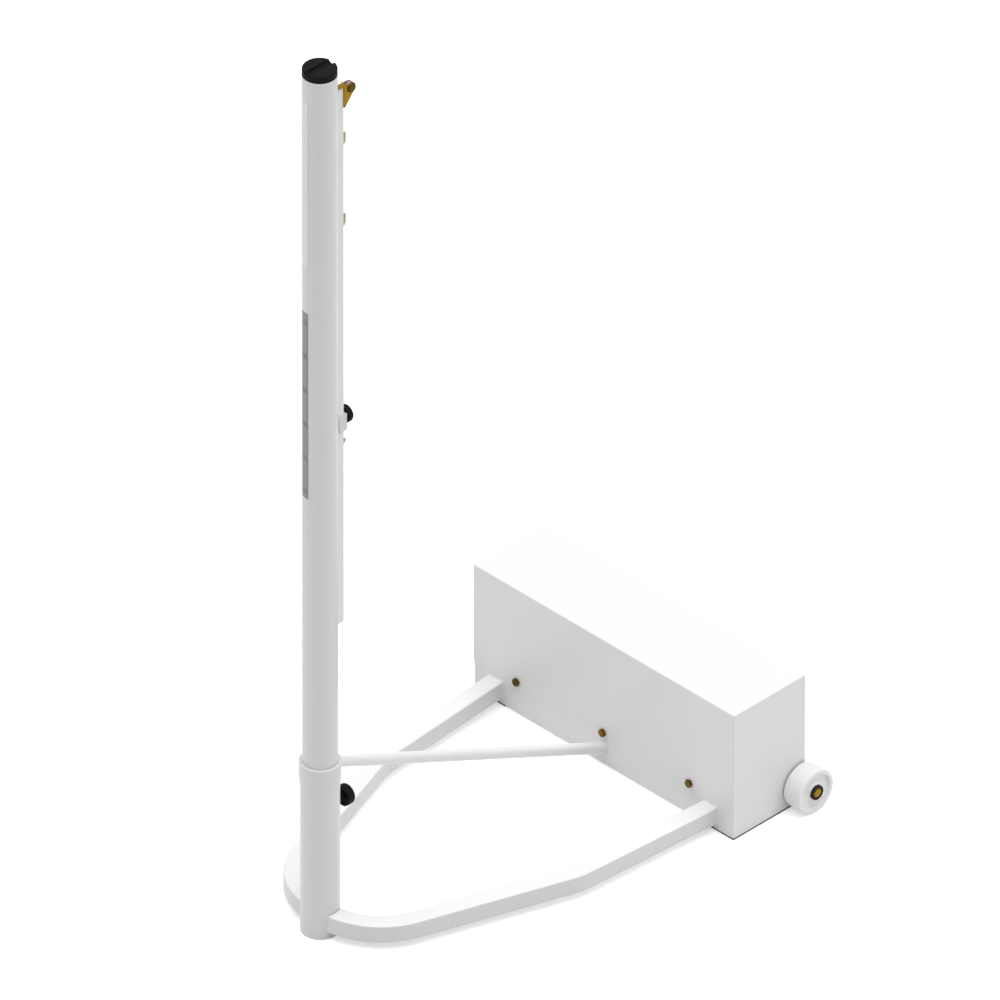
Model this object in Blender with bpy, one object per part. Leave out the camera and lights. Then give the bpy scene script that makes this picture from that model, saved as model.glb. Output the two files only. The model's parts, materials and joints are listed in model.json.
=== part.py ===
"""A free-standing volleyball net post: sleeve on a swept base frame, ballast box on wheels, lift-out post.

The origin is on the post's axis at floor level. +Z is up, -Y faces the court, +Y points to the box.
"""

import math

import bmesh
import bpy
from mathutils import Vector

# Clearances, in metres
GAP = 0.0003
SLEEVE_FIT = 0.0009
RUNNING_FIT = 0.0005

# Post tube and its cap
TUBE_OD = 0.0883
TUBE_WALL = 0.003
TUBE_TOP = 2.546
CAP_RIM = 0.0006
CAP_THICKNESS = 0.0197
CAP_EDGE = 0.004
SPIGOT_LENGTH = 0.032
GROOVE_WIDTH = 0.021
GROOVE_DEPTH = 0.0105

# Sleeve that holds the post
SLEEVE_WALL = 0.00415
SLEEVE_TOP = 0.508
COLLAR_SWELL = 0.0038
COLLAR_HEIGHT = 0.051
COLLAR_TAPER = 0.023
COLLAR_CHAMFER = 0.0012
FOOT_PLATE = 0.006

# Swept legs of square tube
LEG_SIZE = 0.050
LEG_WALL = 0.003
LEG_EDGE = 0.004
LEG_LIFT = 0.021
LEG_BEND = 0.193
BEND_ROOM = 0.98
LEG_SET_BACK = 0.0015
LEG_SPLAY = math.radians(19.1)
LEG_TOE = math.radians(4.1)
LEG_KNEE_REACH = 0.429
LEG_END_SPREAD = 0.3732

# Round brace from the collar to the box
BRACE_OD = 0.030
BRACE_WALL = 0.0025
BRACE_FOOT_HEIGHT = 0.049
BRACE_HEAD_DROP = 0.031

# Ballast box
BOX_FRONT = 0.978
BOX_WIDTH = 0.905
BOX_DEPTH = 0.250
BOX_HEIGHT = 0.3695
BOX_SHEET = 0.0025
BOX_EDGE = 0.0032
NOTCH_WIDTH = 0.006
NOTCH_HEIGHT = 0.079
NOTCH_LENGTH = 0.030
TRAY_SHEET = 0.003
TRAY_HEIGHT = 0.125
BALLAST_COUNT = 4
BALLAST_THICKNESS = 0.020
BALLAST_END_SPACE = 0.030
BALLAST_SIDE_SPACE = 0.020
BALLAST_EDGE = 0.002
PAD_THICKNESS = 0.0047
PAD_LENGTH = 0.1115
PAD_EDGE = 0.001

# Box bolts
BOX_BOLT_D = 0.012
BOX_BOLT_HEAD = 0.0075
BOX_BOLT_FLATS = 0.019
BOX_BOLT_PITCH = 0.300
BOX_BOLT_COUNT = 3
BOX_BOLT_HEIGHT = 0.091
BOX_NUT_THICKNESS = 0.010
THREAD_END = 0.003

# Wheels
WHEEL_OD = 0.120
WHEEL_WIDTH = 0.054
WHEEL_RIM = 0.011
WHEEL_RECESS = 0.008
WHEEL_HUB_R = 0.0215
WHEEL_HUB_SET_IN = 0.002
WHEEL_EDGE = 0.003
WHEEL_SPACE = 0.005
AXLE_D = 0.016
AXLE_FROM_BACK = 0.021
AXLE_FLATS = 0.022
AXLE_HEAD = 0.004
AXLE_NUT = 0.012
AXLE_WASHER_R = 0.0197
AXLE_CUP = 0.0075
AXLE_CUP_FLOOR = 0.003
AXLE_CUP_R = 0.0132
SPACER_WALL = 0.0045

# Rail on the back of the post
RAIL_WIDTH = 0.030
RAIL_DEPTH = 0.0226
RAIL_WALL = 0.0025
RAIL_SLOT = 0.012
RAIL_BOTTOM = 0.897
RAIL_TOP = 2.498
SLIDE_FIT = 0.0004

# Rope hooks: name, distance of the tip below the rail's top, length of the straight tip
HOOKS = (("upper", 0.1625, 0.024), ("middle", 0.4025, 0.024), ("lower", 1.070, 0.003))
HOOK_ROD = 0.007
HOOK_STANDOFF = 0.0175
HOOK_BEND = 0.010
HOOK_BLOCK = 0.030
HOOK_TIP_SHARE = 0.6

# Carriage and its knob, whose height is counted up from the rail's lower end
CARRIAGE_RISE = 0.6035
CARRIAGE_ABOVE = 0.012
CARRIAGE_LENGTH = 0.0465
CARRIAGE_CHEEK = 0.0022
CARRIAGE_BACK = 0.0096
CARRIAGE_WRAP = 0.018
CARRIAGE_NUT_LENGTH = 0.022
CARRIAGE_STUD_D = 0.008
CARRIAGE_KNOB_R = 0.0235
CARRIAGE_KNOB_DEPTH = 0.0177

# Knob that clamps the post in the sleeve
CLAMP_HEIGHT = 0.361
CLAMP_STUD_D = 0.012
CLAMP_KNOB_R = 0.0275
CLAMP_KNOB_DEPTH = 0.0235
CLAMP_NECK = 0.018
CLAMP_BOSS_R = 0.013
CLAMP_BOSS_LENGTH = 0.006
KNOB_FLUTES = 10
KNOB_FLUTE_DEPTH = 0.0005
KNOB_HUB_WALL = 0.0052
KNOB_HOLLOW = 0.0045
KNOB_HOLLOW_SHARE = 0.76
KNOB_RIM_SHARE = 0.80
KNOB_DISH_SHARE = 0.55
KNOB_DISH_HEIGHT = 0.96
# Outline of a knob's grip: share of its radius, share of its depth, share of the flutes' depth
KNOB_OUTLINE = ((0.96, 0.0, 0.5), (1.0, 0.06, 1.0), (1.0, 0.70, 1.0), (0.94, 0.90, 0.5), (0.80, 1.0, 0.0))
STUD_GRIP = 0.6

# Rope pulley in its bracket
PULLEY_R = 0.0145
PULLEY_GROOVE = 0.0030
PULLEY_RIM = 0.0005
PULLEY_HUB_R = 0.008
PULLEY_STANDOFF = 0.023
PULLEY_DROP = 0.027
CHEEK_THICKNESS = 0.003
CHEEK_ROUND = 0.0145
CHEEK_TAB_HEIGHT = 0.0145
CHEEK_TAB_LENGTH = 0.018
CHEEK_TAIL = 0.075
CHEEK_TAIL_WIDTH = 0.004
CHEEK_OVERLAP = 0.0015
CHEEK_DIP = 0.0145
CHEEK_DIP_LENGTH = 0.005
PULLEY_AXLE_D = 0.008
PULLEY_HEAD_R = 0.0130
PULLEY_HEAD = 0.004
PULLEY_HEAD_SIDE = 0.4
PULLEY_HEAD_FLAT = 0.35
PULLEY_NUT_FLATS = 0.013
PULLEY_NUT = 0.0065

# Strips on the face of the tube
STRIP_CENTRE = math.radians(10.5)
STRIP_ARC = math.radians(33.0)
STRIP_THICKNESS = 0.0006
SCALE_SPAN = (1.310, 1.861)
LABEL_SPAN = (1.994, 2.480)

# Facet counts
ROUND = 48
MEDIUM = 24
SMALL = 24
WHEEL_SIDES = 40

# Sizes that follow from the ones above
TUBE_R = TUBE_OD / 2
BORE_R = TUBE_R + SLEEVE_FIT
SLEEVE_R = BORE_R + SLEEVE_WALL
COLLAR_R = SLEEVE_R + COLLAR_SWELL
POST_FOOT = FOOT_PLATE + GAP
BOX_BOTTOM = PAD_THICKNESS + GAP
BOX_TOP = BOX_BOTTOM + BOX_HEIGHT
BOX_BACK = BOX_FRONT + BOX_DEPTH
BOX_SIDE = BOX_WIDTH / 2
TRAY_SIDE = BOX_SIDE - BOX_SHEET - GAP
TRAY_FRONT = BOX_FRONT + BOX_SHEET + GAP
TRAY_BACK = BOX_BACK - BOX_SHEET - GAP
BOX_BOLT_Z = BOX_BOTTOM + BOX_BOLT_HEIGHT
AXLE_Y = BOX_BACK - AXLE_FROM_BACK
AXLE_Z = WHEEL_OD / 2
WHEEL_INNER = BOX_SIDE + WHEEL_SPACE
HUB_OUTER = WHEEL_INNER + WHEEL_WIDTH - WHEEL_HUB_SET_IN
RAIL_FRONT = TUBE_R + GAP
RAIL_BACK = RAIL_FRONT + RAIL_DEPTH
HOOK_Y = RAIL_BACK + HOOK_STANDOFF
CARRIAGE_END = RAIL_BACK + SLIDE_FIT + CARRIAGE_BACK
PULLEY_Y = RAIL_BACK + PULLEY_STANDOFF
PULLEY_Z = RAIL_TOP - PULLEY_DROP
CHEEK_NEAR = RAIL_WIDTH / 2 + GAP
CHEEK_FAR = CHEEK_NEAR + CHEEK_THICKNESS
INNER_CHEEK_NEAR = RAIL_SLOT / 2 - GAP
INNER_CHEEK_FAR = INNER_CHEEK_NEAR - CHEEK_THICKNESS
CARRIAGE_HEIGHT = RAIL_BOTTOM + CARRIAGE_RISE

# Turns that lay a piece built up +Z along another axis
ALONG_Y = (-math.pi / 2, 0, 0)
ALONG_X = (0, math.pi / 2, 0)
ALONG_MINUS_X = (0, -math.pi / 2, 0)


def clear_scene():
    """Remove every object already in the file."""
    for thing in list(bpy.data.objects):
        bpy.data.objects.remove(thing, do_unlink=True)


def make_material(name, colour, roughness, metallic):
    """Return a Principled material."""
    material = bpy.data.materials.new(name)
    material.use_nodes = True
    shader = material.node_tree.nodes["Principled BSDF"]
    shader.inputs["Base Color"].default_value = (*colour, 1.0)
    shader.inputs["Roughness"].default_value = roughness
    shader.inputs["Metallic"].default_value = metallic
    return material


def white_paint(name):
    return make_material(name + "_paint", (0.86, 0.87, 0.88), 0.35, 0.0)


def yellow_zinc(name):
    return make_material(name + "_zinc", (0.55, 0.38, 0.05), 0.38, 1.0)


def black_plastic(name):
    return make_material(name + "_plastic", (0.015, 0.015, 0.016), 0.45, 0.0)


def white_nylon(name):
    return make_material(name + "_nylon", (0.88, 0.88, 0.87), 0.4, 0.0)


def plain_steel(name):
    return make_material(name + "_steel", (0.35, 0.35, 0.36), 0.4, 1.0)


def circle(radius, height, count=MEDIUM):
    """Points of a circle about +Z."""
    steps = (2 * math.pi * i / count for i in range(count))
    return [Vector((radius * math.cos(a), radius * math.sin(a), height)) for a in steps]


def hexagon(flats, height, count=SMALL):
    """Points of a hexagon about +Z, as many as a circle has, so that the two can be joined."""
    points = []
    for i in range(count):
        angle = 2 * math.pi * i / count
        off_flat = (angle + math.pi / 6) % (math.pi / 3) - math.pi / 6
        reach = flats / 2 / math.cos(off_flat)
        points.append(Vector((reach * math.cos(angle), reach * math.sin(angle), height)))
    return points


def fluted(radius, height, depth, count):
    """Points of a circle with shallow finger flutes."""
    points = []
    for i in range(count):
        angle = 2 * math.pi * i / count
        reach = radius - depth * (1 - math.cos(KNOB_FLUTES * angle)) / 2
        points.append(Vector((reach * math.cos(angle), reach * math.sin(angle), height)))
    return points


def rounded_rectangle(low_x, high_x, low_y, high_y, radius, height, steps=2):
    """Points of a rectangle with round corners."""
    points = []
    corners = (
        (high_x - radius, high_y - radius, 0),
        (low_x + radius, high_y - radius, 1),
        (low_x + radius, low_y + radius, 2),
        (high_x - radius, low_y + radius, 3),
    )
    for x, y, quarter in corners:
        for i in range(steps + 1):
            angle = math.pi / 2 * (quarter + i / steps)
            points.append(Vector((x + radius * math.cos(angle), y + radius * math.sin(angle), height)))
    return points


def skin(bm, rings, closed=False):
    """Join rings of equal count by quads; an open stack gets a cap at each end."""
    loops = [[bm.verts.new(point) for point in ring] for ring in rings]
    pairs = list(zip(loops, loops[1:]))
    if closed:
        pairs.append((loops[-1], loops[0]))
    for first, second in pairs:
        count = len(first)
        for i in range(count):
            j = (i + 1) % count
            bm.faces.new((first[i], first[j], second[j], second[i]))
    if not closed:
        bm.faces.new(loops[0])
        bm.faces.new(loops[-1])


def add_piece(name, stacks, material=None, location=(0, 0, 0), rotation=(0, 0, 0)):
    """Make one object from stacks of rings, each given as (rings, closed)."""
    bm = bmesh.new()
    for rings, closed in stacks:
        skin(bm, rings, closed)
    bmesh.ops.recalc_face_normals(bm, faces=bm.faces)
    mesh = bpy.data.meshes.new(name)
    bm.to_mesh(mesh)
    bm.free()
    mesh.shade_smooth()
    mesh.set_sharp_from_angle(angle=math.radians(30))
    piece = bpy.data.objects.new(name, mesh)
    bpy.context.collection.objects.link(piece)
    piece.location = location
    piece.rotation_euler = rotation
    if material:
        mesh.materials.append(material)
    return piece


def change_shape(piece, operation, tool):
    """Cut a tool out of a piece, or join it to the piece; the tool itself stays out of the model."""
    tool.hide_render = True
    tool.display_type = "WIRE"
    modifier = piece.modifiers.new(operation.lower() + "_" + tool.name, "BOOLEAN")
    modifier.operation = operation
    modifier.solver = "EXACT"
    modifier.object = tool


def cut(piece, *tools):
    for tool in tools:
        change_shape(piece, "DIFFERENCE", tool)


def make_cylinder(name, radius, start, length, rotation=(0, 0, 0), count=MEDIUM):
    """Return a cylinder used as a cutter; start is the middle of its first end."""
    return add_piece(name, [([circle(radius, 0, count), circle(radius, length, count)], False)],
                     location=start, rotation=rotation)


def tube_rings(outer, inner, low, high, count=ROUND):
    """Rings of a plain tube about +Z."""
    corners = ((outer, low), (outer, high), (inner, high), (inner, low))
    return [circle(radius, height, count) for radius, height in corners]


def make_sleeve():
    """Tube with a swollen collar at its mouth and a foot plate in its lower end."""
    collar_low = SLEEVE_TOP - COLLAR_HEIGHT
    outline = [
        (SLEEVE_R, 0),
        (SLEEVE_R, collar_low - COLLAR_TAPER),
        (COLLAR_R, collar_low),
        (COLLAR_R, SLEEVE_TOP - COLLAR_CHAMFER),
        (COLLAR_R - COLLAR_CHAMFER, SLEEVE_TOP),
        (BORE_R + COLLAR_CHAMFER, SLEEVE_TOP),
        (BORE_R, SLEEVE_TOP - COLLAR_CHAMFER),
        (BORE_R, 0),
    ]
    rings = [circle(radius, height, ROUND) for radius, height in outline]
    sleeve = add_piece("base_sleeve", [(rings, True)], white_paint("base_sleeve"))
    place = (0, 0, CLAMP_HEIGHT)
    hole = make_cylinder("sleeve_screw_hole", CLAMP_STUD_D / 2 + GAP, place, 2 * SLEEVE_R, ALONG_Y)
    cut(sleeve, hole)
    plate = [circle(BORE_R - GAP, 0, ROUND), circle(BORE_R - GAP, FOOT_PLATE, ROUND)]
    add_piece("foot_plate", [(plate, False)], white_paint("foot_plate"))


def filleted(corners, radius, step=math.radians(7)):
    """Plan points of a route whose corners are rounded, by an arc limited to the room at each corner."""
    route = [Vector(corners[0])]
    for before, corner, after in zip(corners, corners[1:], corners[2:]):
        before, corner, after = Vector(before), Vector(corner), Vector(after)
        arriving = (corner - before).normalized()
        leaving = (after - corner).normalized()
        turn = arriving.angle(leaving)
        room = min((corner - route[-1]).length, (after - corner).length)
        tangent = min(radius * math.tan(turn / 2), room * BEND_ROOM)
        bend = tangent / math.tan(turn / 2)
        side = Vector((-arriving.y, arriving.x))
        if side.dot(leaving) < 0:
            side = -side
        start = corner - arriving * tangent
        count = max(2, round(turn / step))
        for i in range(count + 1):
            angle = turn * i / count
            route.append(start + arriving * bend * math.sin(angle) + side * bend * (1 - math.cos(angle)))
    route.append(Vector(corners[-1]))
    return route


def square_rings(route, size, edge, middle_z, side, end_y):
    """Rings of a square section along a plan route; the last is cut square to the box."""
    section = rounded_rectangle(-size / 2, size / 2, -size / 2, size / 2, edge, 0)
    rings = []
    for i, point in enumerate(route):
        into = (route[i] - route[i - 1]).normalized() if i else (route[1] - route[0]).normalized()
        out = (route[i + 1] - route[i]).normalized() if i + 1 < len(route) else into
        along = (into + out).normalized()
        across = Vector((along.y, -along.x)) / along.dot(out)
        ring = []
        for offset in section:
            place = point + across * offset.x
            if i + 1 == len(route):
                place = place + along * (end_y - place.y) / along.y
            ring.append(Vector((side * place.x, place.y, middle_z + offset.y)))
        rings.append(ring)
    return rings


def make_legs():
    """Two bent square tubes, saddled to the sleeve in front and square to the box behind."""
    end_y = BOX_FRONT - GAP
    knee_x = LEG_END_SPREAD - LEG_KNEE_REACH * math.tan(LEG_TOE)
    knee_y = BOX_FRONT - LEG_KNEE_REACH
    turn_x = knee_x - (knee_y - LEG_SET_BACK) * math.tan(LEG_SPLAY)
    corners = [(0, LEG_SET_BACK), (turn_x, LEG_SET_BACK), (knee_x, knee_y), (LEG_END_SPREAD, end_y)]
    route = filleted(corners, LEG_BEND)
    middle_z = LEG_LIFT + LEG_SIZE / 2
    height = LEG_LIFT + 3 * LEG_SIZE
    saddle = make_cylinder("leg_saddle", SLEEVE_R + GAP, (0, 0, -LEG_SIZE), height, count=ROUND)
    for name, side in (("base_leg_right", 1), ("base_leg_left", -1)):
        outer = square_rings(route, LEG_SIZE, LEG_EDGE, middle_z, side, end_y)
        inner_edge = max(LEG_EDGE - LEG_WALL, GAP)
        inner = square_rings(route, LEG_SIZE - 2 * LEG_WALL, inner_edge, middle_z, side, end_y)
        leg = add_piece(name, [(outer + inner[::-1], True)], white_paint(name))
        cut(leg, saddle)


def slanted_circle(radius, start_y, start_z, end_y, end_z, plane_y, count=SMALL):
    """Ring of a round tube that runs in the plane X = 0, cut by a plane square to Y."""
    along = Vector((0, end_y - start_y, end_z - start_z)).normalized()
    upward = Vector((0, -along.z, along.y))
    ring = []
    for i in range(count):
        angle = 2 * math.pi * i / count
        across = math.cos(angle) * Vector((1, 0, 0)) + math.sin(angle) * upward
        place = Vector((0, start_y, start_z)) + radius * across
        ring.append(place + along * (plane_y - place.y) / along.y)
    return ring


def make_brace():
    """Round tube from the collar down to the box."""
    line = (COLLAR_R, SLEEVE_TOP - BRACE_HEAD_DROP, BOX_FRONT, BRACE_FOOT_HEIGHT)
    start_y = COLLAR_R / 3
    end_y = BOX_FRONT - GAP
    outer = [slanted_circle(BRACE_OD / 2, *line, y) for y in (start_y, end_y)]
    inner = [slanted_circle(BRACE_OD / 2 - BRACE_WALL, *line, y) for y in (end_y, start_y)]
    brace = add_piece("base_brace", [(outer + inner, True)], white_paint("base_brace"))
    low = SLEEVE_TOP - COLLAR_HEIGHT - COLLAR_TAPER
    height = 2 * COLLAR_HEIGHT + 2 * COLLAR_TAPER
    saddle = make_cylinder("brace_saddle", COLLAR_R + GAP, (0, 0, low), height, count=ROUND)
    cut(brace, saddle)


def box_rectangle(inset, radius, height):
    """Plan outline of the box, set in by the given amount."""
    side = BOX_SIDE - inset
    return rounded_rectangle(-side, side, BOX_FRONT + inset, BOX_BACK - inset, radius, height)


def block_rings(low, high, edge):
    """Rings of a block between two corners, with its edges rounded in plan and chamfered above and below."""
    inner = edge / 2
    rings = []
    for height, set_in in ((low[2], inner), (low[2] + inner, 0), (high[2] - inner, 0), (high[2], inner)):
        near = (low[0] + set_in, high[0] - set_in, low[1] + set_in, high[1] - set_in)
        rings.append(rounded_rectangle(*near, edge, height))
    return rings


def front_bolt_places():
    """X places of the bolts along the box's face."""
    middle = (BOX_BOLT_COUNT - 1) / 2
    return [(i - middle) * BOX_BOLT_PITCH for i in range(BOX_BOLT_COUNT)]


def make_box():
    """Folded cover, tray and rubber pads, with the holes of the bolts and the axles."""
    inner_edge = max(BOX_EDGE - BOX_SHEET, GAP)
    rings = [
        box_rectangle(0, BOX_EDGE, BOX_TOP),
        box_rectangle(0, BOX_EDGE, BOX_BOTTOM),
        box_rectangle(BOX_SHEET, inner_edge, BOX_BOTTOM),
        box_rectangle(BOX_SHEET, inner_edge, BOX_TOP - BOX_SHEET),
    ]
    cover = add_piece("box_cover", [(rings, False)], white_paint("box_cover"))
    tray_in = BOX_SHEET + GAP
    tray_top = BOX_BOTTOM + TRAY_HEIGHT
    rings = [
        box_rectangle(tray_in, inner_edge, BOX_BOTTOM),
        box_rectangle(tray_in, inner_edge, tray_top),
        box_rectangle(tray_in + TRAY_SHEET, inner_edge, tray_top),
        box_rectangle(tray_in + TRAY_SHEET, inner_edge, BOX_BOTTOM + TRAY_SHEET),
    ]
    tray = add_piece("box_tray", [(rings, False)], white_paint("box_tray"))
    for number, x in enumerate(front_bolt_places()):
        start = (x, BOX_FRONT - BOX_SHEET, BOX_BOLT_Z)
        length = 3 * BOX_SHEET + 2 * TRAY_SHEET
        hole = make_cylinder(f"box_bolt_hole_{number}", BOX_BOLT_D / 2 + GAP, start, length, ALONG_Y)
        cut(cover, hole)
        cut(tray, hole)
    start = (-BOX_SIDE - WHEEL_SPACE, AXLE_Y, AXLE_Z)
    axle_hole = make_cylinder("axle_hole", AXLE_D / 2 + GAP, start, BOX_WIDTH + 2 * WHEEL_SPACE, ALONG_X)
    cut(cover, axle_hole)
    cut(tray, axle_hole)
    low = (-BOX_SIDE - NOTCH_WIDTH, BOX_FRONT - NOTCH_WIDTH, BOX_BOTTOM - NOTCH_WIDTH)
    high = (-BOX_SIDE + NOTCH_WIDTH, BOX_FRONT + NOTCH_LENGTH, BOX_BOTTOM + NOTCH_HEIGHT)
    notch = add_piece("corner_notch", [(block_rings(low, high, GAP), False)])
    cut(cover, notch)
    for name, side in (("pad_right", 1), ("pad_left", -1)):
        ends = sorted((side * BOX_SIDE, side * (BOX_SIDE - PAD_LENGTH)))
        rings = block_rings((ends[0], BOX_FRONT, 0), (ends[1], BOX_BACK, PAD_THICKNESS), PAD_EDGE)
        rubber = make_material(name + "_rubber", (0.03, 0.03, 0.03), 0.8, 0.0)
        add_piece(name, [(rings, False)], rubber)


def make_ballast():
    """Cast bars stacked on the tray."""
    half = TRAY_SIDE - TRAY_SHEET - BALLAST_END_SPACE
    front = TRAY_FRONT + TRAY_SHEET + BALLAST_SIDE_SPACE
    back = TRAY_BACK - TRAY_SHEET - BALLAST_SIDE_SPACE
    for number in range(BALLAST_COUNT):
        low = BOX_BOTTOM + TRAY_SHEET + GAP + number * (BALLAST_THICKNESS + GAP)
        rings = block_rings((-half, front, low), (half, back, low + BALLAST_THICKNESS), BALLAST_EDGE)
        name = f"ballast_bar_{number + 1}"
        iron = make_material(name + "_iron", (0.06, 0.06, 0.06), 0.7, 0.6)
        add_piece(name, [(rings, False)], iron)


def bolt_rings(diameter, shank, flats, head):
    """Rings of a hexagon bolt: its shank runs down from the head, whose underside is at height 0."""
    radius = diameter / 2
    chamfer = radius / 4
    return [
        circle(radius - chamfer, -shank, SMALL),
        circle(radius, -shank + chamfer, SMALL),
        circle(radius, 0, SMALL),
        hexagon(flats, 0),
        hexagon(flats, head - chamfer / 2),
        circle(flats / 2 - chamfer / 2, head, SMALL),
    ]


def nut_rings(diameter, flats, thickness):
    """Rings of a hexagon nut with a clear bore."""
    radius = diameter / 2 + GAP
    rings = [circle(radius, 0, SMALL), hexagon(flats, 0), hexagon(flats, thickness)]
    return rings + [circle(radius, thickness, SMALL)]


def make_box_bolts():
    """Bolts through the cover and the tray, with their nuts inside."""
    nut_start = BOX_SHEET + GAP + TRAY_SHEET + GAP
    shank = nut_start + GAP + BOX_NUT_THICKNESS + THREAD_END
    for number, x in enumerate(front_bolt_places(), 1):
        name = f"box_bolt_{number}"
        rings = bolt_rings(BOX_BOLT_D, shank, BOX_BOLT_FLATS, BOX_BOLT_HEAD)
        place = (x, BOX_FRONT - GAP, BOX_BOLT_Z)
        add_piece(name, [(rings, False)], yellow_zinc(name), place, (math.pi / 2, 0, 0))
        name = f"box_nut_{number}"
        rings = nut_rings(BOX_BOLT_D, BOX_BOLT_FLATS, BOX_NUT_THICKNESS)
        place = (x, BOX_FRONT + nut_start, BOX_BOLT_Z)
        add_piece(name, [(rings, True)], plain_steel(name), place, ALONG_Y)


def wheel_rings():
    """Turned section of a wheel, from its inner face at height 0."""
    rim = WHEEL_OD / 2 - WHEEL_RIM
    bore = AXLE_D / 2 + RUNNING_FIT
    slope = WHEEL_EDGE
    outline = [
        (bore, WHEEL_HUB_SET_IN),
        (WHEEL_HUB_R, WHEEL_HUB_SET_IN),
        (WHEEL_HUB_R + slope, WHEEL_RECESS),
        (rim - slope, WHEEL_RECESS),
        (rim, 0),
        (WHEEL_OD / 2 - WHEEL_EDGE, 0),
        (WHEEL_OD / 2, WHEEL_EDGE),
        (WHEEL_OD / 2, WHEEL_WIDTH - WHEEL_EDGE),
        (WHEEL_OD / 2 - WHEEL_EDGE, WHEEL_WIDTH),
        (rim, WHEEL_WIDTH),
        (rim - slope, WHEEL_WIDTH - WHEEL_RECESS),
        (WHEEL_HUB_R + slope, WHEEL_WIDTH - WHEEL_RECESS),
        (WHEEL_HUB_R, WHEEL_WIDTH - WHEEL_HUB_SET_IN),
        (bore, WHEEL_WIDTH - WHEEL_HUB_SET_IN),
    ]
    return [circle(radius, height, WHEEL_SIDES) for radius, height in outline]


def make_wheels():
    """Wheels on the box's ends, each on a bolt with a spacer, a nut and a cupped washer round its head."""
    nut_face = TRAY_SIDE - TRAY_SHEET - GAP
    washer_start = HUB_OUTER + GAP
    head_start = washer_start + AXLE_CUP_FLOOR + GAP
    shank = head_start - nut_face + AXLE_NUT + THREAD_END
    bore = AXLE_D / 2 + GAP
    for name, side, turn in (("right", 1, ALONG_X), ("left", -1, ALONG_MINUS_X)):
        piece = "wheel_" + name
        place = (side * WHEEL_INNER, AXLE_Y, AXLE_Z)
        add_piece(piece, [(wheel_rings(), True)], white_nylon(piece), place, turn)
        piece = "wheel_bolt_" + name
        place = (side * head_start, AXLE_Y, AXLE_Z)
        rings = bolt_rings(AXLE_D, shank, AXLE_FLATS, AXLE_HEAD)
        add_piece(piece, [(rings, False)], yellow_zinc(piece), place, turn)
        piece = "wheel_washer_" + name
        place = (side * washer_start, AXLE_Y, AXLE_Z)
        cup = tube_rings(AXLE_WASHER_R, bore, 0, AXLE_CUP, MEDIUM)
        cup.insert(2, circle(AXLE_CUP_R, AXLE_CUP))
        cup.insert(3, circle(AXLE_CUP_R, AXLE_CUP_FLOOR))
        cup[4] = circle(bore, AXLE_CUP_FLOOR)
        add_piece(piece, [(cup, True)], black_plastic(piece), place, turn)
        piece = "wheel_spacer_" + name
        place = (side * (BOX_SIDE + GAP), AXLE_Y, AXLE_Z)
        length = WHEEL_SPACE + WHEEL_HUB_SET_IN - 2 * GAP
        rings = tube_rings(bore + SPACER_WALL, bore, 0, length, MEDIUM)
        add_piece(piece, [(rings, True)], plain_steel(piece), place, turn)
        piece = "wheel_nut_" + name
        place = (side * (nut_face - AXLE_NUT), AXLE_Y, AXLE_Z)
        rings = nut_rings(AXLE_D, AXLE_FLATS, AXLE_NUT)
        add_piece(piece, [(rings, True)], plain_steel(piece), place, turn)


def make_post_tube():
    """Plain tube that stands on the foot plate."""
    rings = tube_rings(TUBE_R, TUBE_R - TUBE_WALL, POST_FOOT, TUBE_TOP)
    add_piece("post_tube", [(rings, True)], white_paint("post_tube"))


def make_cap():
    """Plug for the tube, with a rounded rim and a groove that leads a rope over it."""
    rim = TUBE_R - CAP_RIM
    low = TUBE_TOP + GAP
    top = low + CAP_THICKNESS
    spigot = TUBE_R - TUBE_WALL - GAP
    lead = 2 * TUBE_WALL
    rings = [
        circle(spigot - lead / 2, low - SPIGOT_LENGTH, ROUND),
        circle(spigot, low - SPIGOT_LENGTH + lead, ROUND),
        circle(spigot, low, ROUND),
        circle(rim, low, ROUND),
    ]
    for i in range(5):
        angle = math.pi / 2 * i / 4
        radius = rim - CAP_EDGE * (1 - math.cos(angle))
        rings.append(circle(radius, top - CAP_EDGE * (1 - math.sin(angle)), ROUND))
    cap = add_piece("post_cap", [(rings, False)], black_plastic("post_cap"))
    half = GROOVE_WIDTH / 2
    section = [Vector((half, 0, GROOVE_DEPTH)), Vector((half, 0, -half))]
    for i in range(9):
        angle = math.pi * i / 8
        height = half - GROOVE_DEPTH - half * math.sin(angle)
        section.insert(1 + i, Vector((half * math.cos(angle), 0, height)))
    section = section[:-1] + [Vector((-half, 0, GROOVE_DEPTH))]
    ends = [[point + Vector((0, y, top)) for point in section] for y in (-TUBE_OD, TUBE_OD)]
    groove = add_piece("rope_groove", [(ends, False)])
    cut(cap, groove)


def make_rail():
    """Channel with a slot down its back, fixed along the tube."""
    half = RAIL_WIDTH / 2
    lip = RAIL_SLOT / 2
    inner = half - RAIL_WALL
    outline = [
        (lip, RAIL_BACK),
        (half, RAIL_BACK),
        (half, RAIL_FRONT),
        (-half, RAIL_FRONT),
        (-half, RAIL_BACK),
        (-lip, RAIL_BACK),
        (-lip, RAIL_BACK - RAIL_WALL),
        (-inner, RAIL_BACK - RAIL_WALL),
        (-inner, RAIL_FRONT + RAIL_WALL),
        (inner, RAIL_FRONT + RAIL_WALL),
        (inner, RAIL_BACK - RAIL_WALL),
        (lip, RAIL_BACK - RAIL_WALL),
    ]
    rings = [[Vector((x, y, z)) for x, y in outline] for z in (RAIL_BOTTOM, RAIL_TOP)]
    add_piece("post_rail", [(rings, False)], white_paint("post_rail"))


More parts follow.
